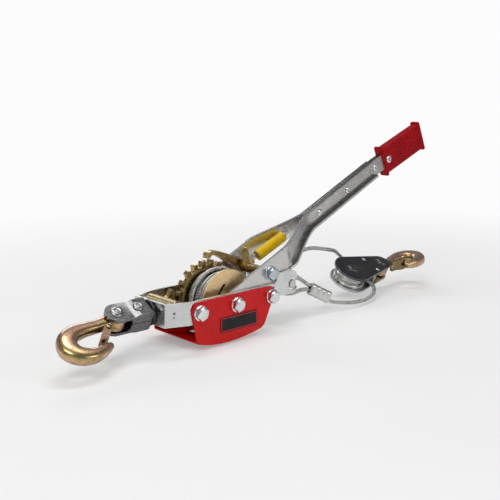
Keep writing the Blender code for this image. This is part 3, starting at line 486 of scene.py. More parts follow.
def chromate(name, warm, depth=1.0, pink=1.0):
    """Yellow chromate over steel. Its hue drifts with the view angle and in patches;
    warm shifts the drift, depth scales the tones, pink below 1 pulls them to gold."""
    look = Surface(name)
    weight = look.add("ShaderNodeLayerWeight")
    weight.inputs["Blend"].default_value = 0.55
    drift = look.noise(scale=42.0, detail=4.0, rough=0.6, distortion=1.2)
    patch = look.noise(scale=130.0, detail=4.0, rough=0.65, distortion=0.5)
    hue = look.math("ADD", look.math("MULTIPLY", weight.outputs["Facing"], 0.62),
                    look.math("MULTIPLY", drift, 0.55))
    hue = look.math("ADD", hue, (warm - 0.5) * 0.5)
    colour = look.ramp(hue, [(at, scaled(tone, depth)) for at, tone in CHROMATE_DRIFT])
    if pink < 1.0:
        colour = look.mix(1.0 - pink, colour, scaled((0.50, 0.36, 0.14), depth))
    colour = look.lay(look.rise(patch, start=0.46, full=0.66), 0.60,
                      colour, scaled((0.17, 0.125, 0.065), depth))
    pits = look.noise(scale=900.0, detail=3.0, rough=0.65)
    colour = look.lay(look.rise(pits, start=0.62, full=0.70), 0.55, colour, (0.10, 0.075, 0.05))
    colour = look.lay(look.edges(radius=0.0007), 0.45, colour, (0.80, 0.70, 0.52))
    roughness = look.span(patch, low=0.18, high=0.36)
    normal = look.bump(look.noise(scale=240.0, detail=4.0, rough=0.6),
                       strength=0.22, distance=0.0004)
    normal = look.bump(pits, strength=0.25, distance=0.00012, normal=normal)
    return look.done(colour, roughness, normal, metallic=1.0)


def gloss_paint(name, base, deep):
    """Red gloss paint with orange peel, a little dust and lighter edges."""
    look = Surface(name)
    blotch = look.noise(scale=60.0, detail=4.0, rough=0.55)
    peel = look.noise(scale=520.0, detail=2.0, rough=0.4)
    dust = look.rise(look.noise(scale=1500.0, detail=2.0, rough=0.6), start=0.68, full=0.74)
    colour = look.mix(look.rise(blotch, start=0.3, full=0.7), deep, base)
    colour = look.lay(dust, 0.05, colour, (0.80, 0.30, 0.28))
    colour = look.lay(look.edges(radius=0.0006), 0.12, colour, (0.80, 0.10, 0.09))
    return look.done(colour, look.span(blotch, low=0.24, high=0.34),
                     look.bump(peel, strength=0.07, distance=0.0002),
                     metallic=0.0, coat=0.08, specular=0.22)


def plastic(name, base, deep, rough, grain_scale=900.0, bump=0.10, specular=0.5):
    """Grained plastic with faint lighter scuffs."""
    look = Surface(name)
    blotch = look.noise(scale=70.0, detail=4.0, rough=0.55)
    grain = look.noise(scale=grain_scale, detail=3.0, rough=0.6)
    colour = look.mix(look.rise(blotch, start=0.3, full=0.7), deep, base)
    streak = look.noise(scale=1.0, detail=3.0, rough=0.6,
                        vector=look.mapping(scale=(90, 700, 90), turn=(0.4, 0.2, 0.6)))
    colour = look.lay(look.rise(streak, start=0.64, full=0.72), 0.10,
                      colour, tuple(min(1.0, c + 0.35) for c in base))
    return look.done(colour, look.span(grain, *rough),
                     look.bump(grain, strength=bump, distance=0.00012),
                     metallic=0.0, specular=specular)


def open_base(material):
    """The tree of a finished material, its base colour input and what feeds it."""
    tree = Tree(material.node_tree)
    socket = tree.tree.nodes["Principled BSDF"].inputs["Base Color"]
    return tree, socket, socket.links[0].from_socket


def painted_crevice_shade(material, distance, dark):
    """Painted shade in the gaps between neighbouring strands and coils: the colour goes to the
    dark colour where ambient occlusion finds them close.
    """
    tree, base, colour = open_base(material)
    occlusion = tree.add("ShaderNodeAmbientOcclusion", samples=6)
    occlusion.inputs["Distance"].default_value = distance
    exposed = tree.rise(occlusion.outputs["AO"], start=0.50, full=0.86)
    tree.link(tree.mix(exposed, dark, colour), base)
    return material


def painted_rim_shade(material, up, amount):
    """Painted shade on the edge faces of a strip, which face along up, darker than its rolled
    faces: the shaded gap between the two arms.
    """
    tree, base, colour = open_base(material)
    coords = tree.add("ShaderNodeTexCoord")
    dot = tree.add("ShaderNodeVectorMath", operation="DOT_PRODUCT")
    dot.inputs[1].default_value = up
    tree.link(coords.outputs["Normal"], dot.inputs[0])
    facing = tree.math("ABSOLUTE", dot.outputs["Value"])
    rim = tree.map_range(facing, (0.55, 0.80), (0.0, amount))
    tree.link(tree.mix(rim, colour, (0.10, 0.10, 0.098)), base)
    return material


# ---------------------------------------------------------------- materials
SHEET_ZINC = satin_metal(
    "zinc_sheet", light=(0.75, 0.76, 0.755), dark=(0.62, 0.63, 0.625), rough=(0.22, 0.34),
    grain_scale=(40, 40, 520), grain_amount=0.06, bump=0.04,
    edge=(0.95, 0.95, 0.95), edge_amount=0.35)
# Lever arms: the dark edge colour and the darkened edge faces are painted shade for the shaded
# gap between the near and far arm.
ARM_ZINC = painted_rim_shade(satin_metal(
    "zinc_arm", light=(0.70, 0.69, 0.67), dark=(0.62, 0.61, 0.59), rough=(0.25, 0.33),
    grain_scale=(30, 30, 420), grain_turn=(0, -0.42, 0), grain_amount=0.02, bump=0.012,
    edge=(0.34, 0.335, 0.325), edge_amount=0.30), up=LEVER.y, amount=0.85)
BRIGHT_ZINC = satin_metal(
    "bright_zinc", light=(0.86, 0.87, 0.88), dark=(0.70, 0.71, 0.73), rough=(0.13, 0.24),
    bump=0.06, edge=(0.98, 0.98, 0.98))
BLUED_ZINC = satin_metal(
    "blued_zinc", light=(0.58, 0.66, 0.70), dark=(0.44, 0.50, 0.56), rough=(0.15, 0.26),
    bump=0.06, edge=(0.9, 0.95, 0.98))
GREY_STEEL = satin_metal(
    "dark_grey_steel", light=(0.25, 0.245, 0.25), dark=(0.15, 0.15, 0.155), rough=(0.20, 0.32),
    grain_scale=(180, 180, 320), spots=0.4, bump=0.16, edge=(0.66, 0.66, 0.67))
RIVET_GREY = satin_metal(
    "grey_rivet", light=(0.50, 0.50, 0.51), dark=(0.32, 0.32, 0.33), rough=(0.22, 0.34),
    bump=0.10, edge=(0.85, 0.85, 0.85))
DARK_PIN = satin_metal(
    "dark_pin", light=(0.20, 0.20, 0.205), dark=(0.11, 0.11, 0.115), rough=(0.16, 0.26),
    bump=0.06, edge=(0.55, 0.55, 0.55))
BLACK_WASHER = satin_metal(
    "black_washer", light=(0.10, 0.10, 0.105), dark=(0.05, 0.05, 0.055), rough=(0.30, 0.45),
    edge=(0.4, 0.4, 0.4), edge_amount=0.3)
BLACK_PLATE = satin_metal(
    "black_plate", light=(0.13, 0.13, 0.145), dark=(0.075, 0.075, 0.085), rough=(0.16, 0.27),
    grain_scale=(60, 600, 60), bump=0.05, edge=(0.88, 0.88, 0.88), edge_amount=0.95)
SHEAVE_ZINC = satin_metal(
    "sheave_zinc", light=(0.80, 0.80, 0.78), dark=(0.60, 0.60, 0.58), rough=(0.20, 0.34),
    edge=(0.96, 0.96, 0.95))
# the crevice darkening on the rope strands is painted shade in the gaps between strands
ROPE = painted_crevice_shade(satin_metal(
    "rope_strand", light=(0.84, 0.835, 0.81), dark=(0.58, 0.57, 0.55), rough=(0.22, 0.36),
    grain_scale=(1500, 1500, 500), grain_turn=(0.3, 0.5, 0.8), blotch_scale=140.0,
    spots=0.3, bump=0.35, edge_amount=0.0), distance=0.0020, dark=(0.012, 0.012, 0.012))
# near-black filling under the wound layer: painted shade seen between the turns
UNDER_LAYER_SHADE = satin_metal(
    "under_layer_shade", light=(0.07, 0.068, 0.065), dark=(0.035, 0.034, 0.032), rough=(0.4, 0.6),
    grain_scale=(900, 900, 900), bump=0.4, edge_amount=0.0)
FERRULE = satin_metal(
    "ferrule", light=(0.80, 0.795, 0.78), dark=(0.62, 0.615, 0.60), rough=(0.28, 0.42),
    grain_scale=(300, 500, 300), spots=0.15, bump=0.28)
# the crevice darkening on the spring wire is painted shade in the gaps between coils
GOLD_WIRE = painted_crevice_shade(satin_metal(
    "spring_wire", light=(0.80, 0.68, 0.42), dark=(0.58, 0.46, 0.24), rough=(0.20, 0.34),
    grain_scale=(500, 500, 500), edge_amount=0.0), distance=0.0024, dark=(0.05, 0.035, 0.015))
STEEL_WIRE = satin_metal(
    "bright_spring_wire", light=(0.86, 0.86, 0.86), dark=(0.68, 0.68, 0.68),
    rough=(0.16, 0.28), grain_scale=(500, 500, 500), bump=0.10, edge_amount=0.0)
HOOK_GOLD = chromate("chromate_hook", warm=0.52)
LATCH_GOLD = chromate("chromate_latch", warm=0.46, depth=0.55)
RATCHET_GOLD = chromate("chromate_ratchet", warm=0.38, depth=0.98, pink=0.25)
PAWL_GOLD = chromate("chromate_pawl", warm=0.42, pink=0.30)
FLANGE_GOLD = satin_metal(
    "chromate_flange", light=(0.95, 0.71, 0.40), dark=(0.82, 0.59, 0.30), rough=(0.30, 0.44),
    grain_scale=(240, 240, 240), edge=(0.96, 0.84, 0.60))
RED = gloss_paint("red_gloss", base=(0.66, 0.001, 0.002), deep=(0.56, 0.0006, 0.0015))
LABEL = plastic("label_black", base=(0.012, 0.012, 0.013), deep=(0.006, 0.006, 0.007),
                rough=(0.34, 0.48), grain_scale=1400.0, specular=0.25)
LABEL_LINE = plastic("label_line", base=(0.78, 0.02, 0.03), deep=(0.62, 0.01, 0.02),
                     rough=(0.25, 0.40), grain_scale=1400.0)
GRIP_RED = plastic("grip_red", base=(0.40, 0.0006, 0.008), deep=(0.28, 0.0004, 0.005),
                   rough=(0.36, 0.50), grain_scale=1100.0, bump=0.14, specular=0.14)
SLEEVE = plastic("sleeve_yellow", base=(0.86, 0.58, 0.002), deep=(0.74, 0.46, 0.001),
                 rough=(0.32, 0.48), specular=0.22)
# near-black slot floor: painted shade inside the slot of the drum flange
SLOT_SHADE = plastic("slot_shade", base=(0.006, 0.005, 0.004), deep=(0.003, 0.003, 0.003),
                    rough=(0.6, 0.8), specular=0.1)

# ---------------------------------------------------------------- ties to the CAD frame
BODY = {node: body for body, nodes in frame["record"]["behaviour"]["bodies"].items()
        for node in nodes}


def set_material(ob, material):
    # clearing also resets the material index of every face
    ob.data.materials.clear()
    ob.data.materials.append(material)


def add_detail(ob, node, material):
    """An extra piece that moves with a CAD node."""
    set_material(ob, material)
    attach(ob, BODY[node])


def stand_for(ob, node, material):
    """The piece that takes the place of a CAD node."""
    ob.name = "v_" + node
    add_detail(ob, node, material)
    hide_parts(node)


# ---------------------------------------------------------------- plates and solids from CAD
# node, material, edge width
CAD_PIECES = [
    ("frame", SHEET_ZINC, 0.5), ("guard", RED, 0.45),
    ("near_arm", ARM_ZINC, 0.45), ("far_arm", ARM_ZINC, 0.45),
    ("clevis_upper_half", GREY_STEEL, 0.9), ("clevis_lower_half", GREY_STEEL, 0.9),
    ("drum_flange", FLANGE_GOLD, 0.4), ("ratchet_wheel", RATCHET_GOLD, 0.4),
    ("stop_pawl", RATCHET_GOLD, 0.5), ("drive_pawl", PAWL_GOLD, 0.6),
    ("front_latch", LATCH_GOLD, 0.4), ("block_latch", LATCH_GOLD, 0.4),
    ("block_upper_plate", BLACK_PLATE, 0.45), ("block_lower_plate", SHEET_ZINC, 0.45),
    ("drum_core", FLANGE_GOLD, 0.3), ("spring_anchor_pin", BRIGHT_ZINC, 0.15),
    ("cable_anchor_pin", FERRULE, 0.2)]
CAD_EDGE_DEG = 32.0


def cad_piece(node, material, edge_width):
    """The CAD solid with its flats made whole again and its edges rolled."""
    bm = bmesh.new()
    bm.from_mesh(frame["nodes"][node].data)
    bmesh.ops.remove_doubles(bm, verts=bm.verts, dist=2e-6)
    bmesh.ops.dissolve_limit(bm, angle_limit=radians(1.0), verts=bm.verts, edges=bm.edges)
    bmesh.ops.recalc_face_normals(bm, faces=bm.faces)
    mesh = bpy.data.meshes.new("v_" + node)
    bm.to_mesh(mesh)
    bm.free()
    ob = add_object("v_" + node, mesh)
    shade(ob, CAD_EDGE_DEG)
    stand_for(round_edges(ob, edge_width, CAD_EDGE_DEG), node, material)


def slot_floor():
    """Near-black floor of the slot in the drum flange: painted shade of the recess."""
    outline = [(-9.6, 8.3), (-1.7, 17.3), (-4.8, 19.2), (-12.7, 9.6)]
    floor = prism("slot_floor", outline, FLANGE_Y[0] + 0.9, FLANGE_Y[0] + 1.2)
    add_detail(floor, "drum_flange", SLOT_SHADE)


def label():
    """Black plate on the near side, with a thin red line just inside its edge."""
    x0, x1, z0, z1 = -22.5, 28.4, -25.6, -10.3
    back = -GUARD_SEAT

    def outline(inset, radius):
        return rounded_box(x0 + inset, x1 - inset, z0 + inset, z1 - inset, radius, steps=5)

    plate = prism("label", outline(0.0, 1.6), back - 0.45, back)
    stand_for(round_edges(plate, 0.15, 35.0), "label", LABEL)
    outer, inner = outline(0.9, 1.2), outline(1.5, 0.9)
    points = [(u, back - rise, v) for rise in (0.40, 0.56)
              for loop in (outer, inner) for u, v in loop]
    n = len(outer)
    faces = []
    for i in range(n):
        j = (i + 1) % n
        faces += [(i, j, n + j, n + i), (2 * n + i, 2 * n + j, 3 * n + j, 3 * n + i),
                  (i, j, 2 * n + j, 2 * n + i), (n + i, n + j, 3 * n + j, 3 * n + i)]
    add_detail(solid("label_line", points, faces), "label", LABEL_LINE)


# ---------------------------------------------------------------- bolts, nuts, washer, tube
# name, X, Z, seat, bolt material, nut material
CROSS_BOLTS = [
    ("stop_pawl", FRONT_BOLT_X, 0, GUARD_SEAT, BRIGHT_ZINC, BRIGHT_ZINC),
    ("drum_axle", 0.0, 0, GUARD_SEAT, BRIGHT_ZINC, BRIGHT_ZINC),
    ("rear_cross", REAR_BOLT_X, 0, GUARD_SEAT, BRIGHT_ZINC, BRIGHT_ZINC),
    ("drive_pawl", *PAWL_PIVOT, ARM_SEAT, BLUED_ZINC, BLACK_WASHER)]


def cross_bolt(node, x, z, seat, material):
    """Flanged hex bolt from the near side, with the end of its thread and a ring on its head."""
    tip = seat + NUT_H + 2.2
    length = tip + seat
    profile = [
        (-6.5, 0.01), (-6.55, 2.0), (-6.6, 4.6), (-6.45, 5.6), (-6.1, HEX_FLAT - 0.25),
        (-5.5, HEX_FLAT, "hex"), (-5.3, HEX_FLAT, "hex"), (-1.6, HEX_FLAT, "hex"),
        (-1.35, HEX_FLAT + 0.1, "hex"), (-1.2, 7.2), (-1.0, 7.8), (-0.4, 8.0), (0.0, 8.0),
        (0.0, BOLT_R), (length - 1.0, BOLT_R), (length, BOLT_R - 0.8)]
    stand_for(turned(node, (x, -seat, z), (0, 1, 0), profile, seg=72, spin=0.2),
              node, material)
    steps, turns, pitch = 16, 5, 0.5
    start, radius = seat + 6.2, BOLT_R - 0.12
    thread = [(x + radius * sin(tau * k / steps), start + pitch * k / steps,
               z + radius * cos(tau * k / steps)) for k in range(turns * steps + 1)]
    add_detail(tube(node + "_thread", thread, 0.22, seg=5), node, material)
    ring = [(x + 4.9 * sin(tau * k / 40), -seat - 6.5, z + 4.9 * cos(tau * k / 40))
            for k in range(41)]
    add_detail(tube(node + "_head_ring", ring, 0.16, seg=5), node, material)


def cross_nut(node, x, z, seat, material):
    profile = [(0.0, BOLT_R + 0.3), (0.0, 7.8), (0.5, 8.0), (1.0, 7.7), (1.2, HEX_FLAT, "hex"),
               (5.9, HEX_FLAT, "hex"), (6.3, HEX_FLAT - 0.1), (NUT_H, HEX_FLAT - 0.9),
               (NUT_H, BOLT_R + 0.5), (6.4, BOLT_R + 0.15)]
    stand_for(turned(node, (x, seat, z), (0, 1, 0), profile, seg=72, closed=True),
              node, material)


def rear_spacer():
    profile = mirrored([(0, 4.3), (0, 5.2), (0.3, 5.4)], 2 * SPACER_HALF)
    tube_ob = turned("rear_spacer_tube", (REAR_BOLT_X, -SPACER_HALF, 0), (0, 1, 0), profile,
                     seg=40, closed=True)
    stand_for(tube_ob, "rear_spacer_tube", GREY_STEEL)


def swivel():
    """Bolt, washer and nut through the end plate, along X."""
    bolt = [(0.0, 0.01), (0.0, 5.2), (0.2, 6.2), (0.6, 7.0), (1.4, 7.4), (4.6, 7.6), (5.2, 7.4),
            (5.5, 7.0), (5.7, 5.0), (24.6, 5.0), (25.6, 4.0)]
    stand_for(turned("swivel_bolt", (END_X - 12.6, 0, 0), (1, 0, 0), bolt, seg=48),
              "swivel_bolt", LATCH_GOLD)
    washer = mirrored([(0, 5.4), (0, 12.2), (0.2, 12.7), (0.7, 13.0)], 3.1)
    stand_for(turned("swivel_washer", (END_X - 3.4, 0, 0), (1, 0, 0), washer,
                     seg=64, closed=True), "swivel_washer", BLACK_WASHER)
    nut = [(0, 5.3), (0, 8.4), (0.8, 8.5, "hex"), (7.6, 8.5, "hex"), (8.4, 8.0), (8.4, 5.3)]
    nut_ob = turned("swivel_nut", (END_X + WALL_T + 0.3, 0, 0), (1, 0, 0), nut,
                    seg=60, closed=True)
    stand_for(round_edges(nut_ob, 0.15, 35.0), "swivel_nut", BRIGHT_ZINC)


# ---------------------------------------------------------------- rivets and pins
# node, middle, axis, half length, shank radius, head radius, head height, material
RIVETS = [
    ("clevis_rivet", FRONT(CLEVIS_RIVET_X, 0, 0), FRONT.z, 11.6, 3.0, 5.6, 1.8, RIVET_GREY),
    ("hook_pivot_rivet", FRONT(HOOK_PIN_X, 0, 0), FRONT.z, 9.9, 4.0, 6.8, 2.2, RIVET_GREY),
    *[("arm_rivet_%d" % (i + 1), on_lever(along, 0, 0), LEVER.z, 4.1, 3.0, 4.6, 1.2,
       BRIGHT_ZINC) for i, along in enumerate(ARM_RIVETS)],
    ("grip_rivet", on_lever(GRIP_RIVET, 0, 0), LEVER.z, 6.7, 3.0, 4.8, 1.2, BRIGHT_ZINC),
    ("sheave_axle", BLOCK(0, 0, 0), BLOCK.z, BLOCK_HALF, 4.0, 6.6, 1.8, DARK_PIN),
    ("block_hook_pin", BLOCK(BLOCK_PITCH, 0, 0), BLOCK.z, BLOCK_HALF, 4.0, 7.0, 1.9, DARK_PIN),
    ("keeper_pin_far", BLOCK(33.0, 10.5, 0), BLOCK.z, BLOCK_HALF, 1.5, 2.5, 0.8, BRIGHT_ZINC),
    ("keeper_pin_near", BLOCK(36.0, -12.0, 0), BLOCK.z, BLOCK_HALF, 1.5, 2.5, 0.8,
     BRIGHT_ZINC)]
# head height share from the top, head radius share: dished in the middle
RIVET_HEAD = [(0.12, 0.30), (0.10, 0.45), (0.0, 0.52), (0.10, 0.66), (0.36, 0.86),
              (0.66, 0.97)]


def rivet(node, middle, axis, half, shank_r, head_r, head_h, material):
    head = [(0, 0.01)] + [(depth * head_h, share * head_r) for depth, share in RIVET_HEAD]
    profile = mirrored(head + [(head_h, head_r), (head_h, shank_r)], 2 * half + 2 * head_h)
    stand_for(turned(node, middle + axis * (-half - head_h), axis, profile, seg=40),
              node, material)


def pin_ring(node, x, head_r):
    """Dark pressed ring round the head of a block pin."""
    profile = [(0, head_r + 0.1), (0, head_r + 2.0), (0.35, head_r + 1.7),
               (0.45, head_r + 1.0), (0.3, head_r + 0.1)]
    add_detail(turned(node + "_ring", BLOCK(x, 0, 9.95), BLOCK.z, profile,
                      seg=48, closed=True), node, BLACK_WASHER)


def sheave():
    half = [(0, 4.4), (0, SHEAVE_R - 0.6), (0.25, SHEAVE_R - 0.15), (0.6, SHEAVE_R),
            (2.4, SHEAVE_R), (2.9, SHEAVE_R - 0.3), (3.3, SHEAVE_R - 1.1), (3.7, 17.8),
            (4.2, 16.6), (4.8, 15.7), (5.6, 15.2)]
    profile = mirrored(half, 14.0, middle=[(7.0, 15.05)])
    stand_for(turned("sheave", BLOCK(0, 0, -7.0), BLOCK.z, profile, seg=72, closed=True),
              "sheave", SHEAVE_ZINC)


# ---------------------------------------------------------------- springs
def coil(centre, axis, up, side, radius, length, turns, steps):
    return [Vector(centre) + Vector(axis) * (length * k / (turns * steps))
            + (up * cos(tau * k / steps) + side * sin(tau * k / steps)) * radius
            for k in range(turns * steps + 1)]


def stop_pawl_spring():
    wire = coil((-64.5, -19.5, 5.0), axis=(0, 1, 0), up=Vector((0, 0, 1)),
                side=Vector((1, 0, 0)), radius=5.3, length=45.0, turns=18, steps=20)
    stand_for(tube("stop_pawl_spring", wire, 0.95, seg=10), "stop_pawl_spring", GOLD_WIRE)


def pawl_spring():
    """Long spring inside a yellow sleeve, with a lead at each end and a loop at the lower."""
    low, high = Vector((74.8, 12.4, 32.9)), Vector((110.6, 7.0, 51.4))
    length = (high - low).length
    axis = (high - low).normalized()
    up = axis.orthogonal().normalized()
    profile = mirrored([(0, 5.2), (0, 6.2), (0.2, 6.4)], length)
    stand_for(turned("spring_sleeve", tuple(low), axis, profile, seg=48, closed=True),
              "spring_sleeve", SLEEVE)
    wire = coil(low + axis * 1.5, axis, up, axis.cross(up), radius=3.9,
                length=length - 3.0, turns=17, steps=18)
    lead_in = [Vector((65.6, 14.6, 33.6)), Vector((69.0, 14.2, 32.9)),
               low - axis * 2.2 + Vector((0, 0.2, 0.6))]
    lead_out = [high + axis * 1.6, Vector((114.6, 8.6, 54.9)), Vector((118.8, 9.5, 56.0))]
    path = (smooth_path(lead_in + [wire[0]], 6)[:-1] + wire
            + smooth_path([wire[-1]] + lead_out, 6)[1:])
    stand_for(tube("pawl_spring", path, 0.8, seg=10), "pawl_spring", STEEL_WIRE)
    loop = [Vector((66.8, 14.2 + 1.9 * sin(a), 30.4 + 4.0 * cos(a)))
            + Vector((3.6 * sin(a), 0, 0)) for a in [tau * k / 28 for k in range(29)]]
    add_detail(tube("spring_loop", loop, 0.75, seg=10), "pawl_spring", STEEL_WIRE)


# ---------------------------------------------------------------- hooks
# bar centre line from the pin: along, across, half width, half thickness
HOOK_LINE = [
    (8.0, 1.0, 7.8, 5.5), (16.0, 2.2, 6.8, 5.5), (25.0, 3.2, 6.5, 5.7),
    (38.0, 4.0, 7.2, 6.2), (50.0, 6.8, 8.7, 6.8), (58.6, 14.2, 9.8, 7.2),
    (60.6, 24.2, 9.8, 7.2), (55.0, 32.6, 8.6, 6.9), (45.0, 36.4, 7.4, 6.4),
    (35.0, 35.4, 6.3, 5.7), (27.0, 32.6, 5.0, 4.9), (20.5, 30.0, 3.4, 3.4)]
# rounded tip: distance past the end of the line, share of the end size
HOOK_TIP = [(0.9, 0.90), (1.7, 0.68), (2.2, 0.40)]


def squared(value):
    """Pushes a circle's cosine or sine out towards a square section."""
    return copysign(abs(value) ** 0.80, value)


def hook_bar(place):
    line = smooth_path([(a, b, 0) for a, b, _, _ in HOOK_LINE], 8)
    sizes = smooth_path([(w, t, 0) for _, _, w, t in HOOK_LINE], 8)
    angles = [tau * k / 40 for k in range(40)]
    last = len(line) - 1
    loops = []

    def add_loop(middle, half_widths, half_depths):
        centres = [middle + across * w for w in half_widths]
        loops.append([place(p.x, p.y, depth) for p, depth in zip(centres, half_depths)])

    for i, (middle, size) in enumerate(zip(line, sizes)):
        along = (line[min(i + 1, last)] - line[max(i - 1, 0)]).normalized()
        across = Vector((-along.y, along.x, 0))
        add_loop(middle, [squared(cos(a)) * size.x for a in angles],
                 [squared(sin(a)) * size.y for a in angles])
    # the tip carries on from the last station
    for past, share in HOOK_TIP:
        add_loop(middle + along * past, [cos(a) * size.x * share for a in angles],
                 [sin(a) * size.y * share for a in angles])
    return skin("bar", loops)


def hook(prefix, place, eye_place):
    """Forged bar, eye and lug run into one skin, with the latch pin and its spring."""
    eye = mirrored([(0, 4.4), (0, 9.8), (0.6, 10.7), (1.8, 11.4)], 12.2)
    latch_x, latch_y = LATCH_AT
    parts = (
        hook_bar(place),
        turned("eye", eye_place(0, 0, -6.1), eye_place.z, eye, seg=48, closed=True),
        turned("lug", place(latch_x, latch_y, -1.8), place.z, [(0, 3.6), (3.6, 3.6)], seg=28),
        prism("neck", [(11.0, 4.0), (18.5, 4.0), (17.9, 12.2), (11.2, 12.2)], -1.8, 1.8, place))
    bm = bmesh.new()
    for part in parts:
        bm.from_mesh(part.data)
    mesh = bpy.data.meshes.new(prefix + "_hook_skin")
    bm.to_mesh(mesh)
    bm.free()
    for part in parts:
        bpy.data.objects.remove(part, do_unlink=True)
    ob = add_object(prefix + "_hook_skin", mesh)
    remesh = ob.modifiers.new("skin", "REMESH")
    remesh.mode = "VOXEL"
    remesh.voxel_size = 0.55 * MM
    remesh.use_smooth_shade = True
    relax = ob.modifiers.new("smooth", "SMOOTH")
    relax.factor = 0.5
    relax.iterations = 5
    bpy.context.view_layer.update()
    depsgraph = bpy.context.evaluated_depsgraph_get()
    merged = bpy.data.meshes.new_from_object(ob.evaluated_get(depsgraph))
    ob.modifiers.clear()
    ob.data = merged
    smooth_faces(merged)
    stand_for(ob, prefix + "_hook", HOOK_GOLD)

    pin = [(0, 0.01), (0, 1.9), (0.15, 2.3), (0.4, 2.5), (1.1, 2.5), (1.1, 1.4), (13.7, 1.4),
           (13.7, 2.5), (14.4, 2.5), (14.65, 2.3), (14.8, 1.9)]
    stand_for(turned(prefix + "_latch_pin", place(latch_x, latch_y, -7.4), place.z, pin, seg=28),
              prefix + "_latch_pin", LATCH_GOLD)
    turns, steps = 3, 18
    wire = [place(latch_x + 2.6 * cos(tau * k / steps), latch_y + 2.6 * sin(tau * k / steps),
                  2.3 + 1.9 * k / (turns * steps)) for k in range(turns * steps + 1)]
    stand_for(tube(prefix + "_latch_spring", wire, 0.32, seg=8),
              prefix + "_latch_spring", STEEL_WIRE)


def hook_place(pin, along, across):
    return Place(pin, along, across, along.cross(across))


def front_hook():
    place = hook_place(FRONT(HOOK_PIN_X, 0, 0), -FRONT.x, -FRONT.y)
    hook("front", place, place)


def block_hook():
    yaw, twist = radians(BLOCK_HOOK_YAW_DEG), radians(BLOCK_HOOK_TWIST_DEG)
    along = BLOCK.x * cos(yaw) + BLOCK.y * sin(yaw)
    eye_across = BLOCK.x * sin(yaw) - BLOCK.y * cos(yaw)
    bar_across = eye_across * cos(twist) + BLOCK.z * sin(twist)
    pin = BLOCK(BLOCK_PITCH, 0, 0)
    hook("block", hook_place(pin, along, bar_across), hook_place(pin, along, eye_across))


# ---------------------------------------------------------------- grip
# distance, half depth across the lever, half thickness in Y
GRIP_START_FLANGE = [   # from the start of the grip
    (0, 18.9, 5.8), (0.15, 19.8, 6.4), (0.7, 20.4, 7.0), (2.4, 20.4, 7.0), (2.9, 19.8, 6.4),
    (3.2, 18.0, 6.1), (3.5, 17.5, 5.8)]
GRIP_RIB = [            # from the start of the rib
    (0, 17.4, 5.8), (0.3, 17.75, 6.1), (0.75, 17.9, 6.2), (1.2, 17.75, 6.1), (1.5, 17.4, 5.8)]
GRIP_END_FLANGE = [     # from the end of the lever
    (-4.4, 17.5, 5.8), (-4.0, 18.0, 6.1), (-3.7, 19.8, 6.4), (-3.0, 20.4, 7.0),
    (-0.9, 20.4, 7.0), (-0.25, 19.8, 6.4), (0, 18.9, 5.8), (0, 12.0, 4.0)]
RIB_PITCH = 2.5


def grip():
    """Close cross ribs between two flanges, with a round pad at each end of the rivet."""
    loops = []

    def add_loops(start, table):
        for distance, depth, thick in table:
            outline = rounded_box(-depth, depth, -thick, thick, radius=2.6, steps=6)
            loops.append([on_lever(start + distance, u, v) for u, v in outline])

    add_loops(GRIP_START, GRIP_START_FLANGE)
    rib = GRIP_START + 5.6
    while rib < LEVER_END - 6.4:
        add_loops(rib, GRIP_RIB)
        rib += RIB_PITCH
    add_loops(LEVER_END, GRIP_END_FLANGE)
    ob = skin("grip", loops)
    stand_for(ob, "grip", GRIP_RED)
    shade(ob, 60)
    centre = on_lever(GRIP_RIVET, 0, 0)
    for side in (-1, 1):
        pad = turned("grip_pad", (centre.x, side * 6.0, centre.z), (0, side, 0),
                     [(0, 6.6), (0.3, 6.4), (0.45, 5.8), (0.45, 3.0)], seg=40)
        add_detail(pad, "grip", GRIP_RED)


# ---------------------------------------------------------------- wire rope and ferrule
# the ferrule holds two strands side by side, SPLIT above and below its middle
FERRULE_FAR_END = Vector((157.0, -24.0, -22.5))   # the end towards the block
FERRULE_NEAR_END = Vector((133.0, -15.0, -9.0))   # the end towards the anchor pin
FERRULE_LEN = (FERRULE_NEAR_END - FERRULE_FAR_END).length
FERRULE_ALONG = (FERRULE_NEAR_END - FERRULE_FAR_END).normalized()
FERRULE_UP = (Vector((0, 0, 1)) - FERRULE_ALONG * FERRULE_ALONG.z).normalized()
FERRULE_SIDE = FERRULE_ALONG.cross(FERRULE_UP)
SPLIT = 2.75

# cable centre line, X Y Z
DRUM_TO_BLOCK = [
    (4.4, -4.0, 31.45), (12.8, -3.6, 29.1), (30.0, -2.6, 20.6), (53.5, -1.0, 11.4),
    (66.0, 0.0, 12.4), (82.0, 0.8, 16.8), (100.0, 1.6, 22.0), (120.0, 2.0, 27.0),
    (139.7, 2.6, 31.7), (155.0, 4.0, 32.0), (170.0, 7.0, 29.6), (195.0, 13.0, 24.0),
    (219.0, 22.0, 17.6)]
ROUND_SHEAVE = [    # in the frame of the block
    (6, 30.5, 7.2), (13.5, 24.5, 2.0), (17.8, 14.0, 0.1), (18.7, 5.0, 0), (18.3, -3.0, 0),
    (17.4, -10.5, 0), (17.6, -18.5, -0.2), (17.8, -26.5, -1.6)]
BLOCK_TO_FERRULE = [
    (239.5, -25.4, -29.6), (228.0, -29.5, -32.0), (211.0, -32.6, -33.2),
    (189.0, -33.2, -32.2), (171.0, -30.5, -29.4)]
LOWER_STRAND = (-6.0, -1.0, 7.0, 14.0, 21.0, FERRULE_LEN, FERRULE_LEN + 3.0)
ROUND_ANCHOR = [
    (120.0, -12.6, -9.6), (106.0, -11.6, -11.2), (92.0, -11.2, -8.6), (80.5, -11.0, -4.6),
    (73.4, -10.8, 2.6), (74.0, -10.6, 12.4), (82.5, -10.4, 18.6), (94.0, -10.4, 17.2),
    (108.0, -10.8, 10.4), (121.0, -12.0, 2.6)]
UPPER_STRAND = (FERRULE_LEN + 3.0, FERRULE_LEN, 21.0, 14.0, 7.0, 1.2)


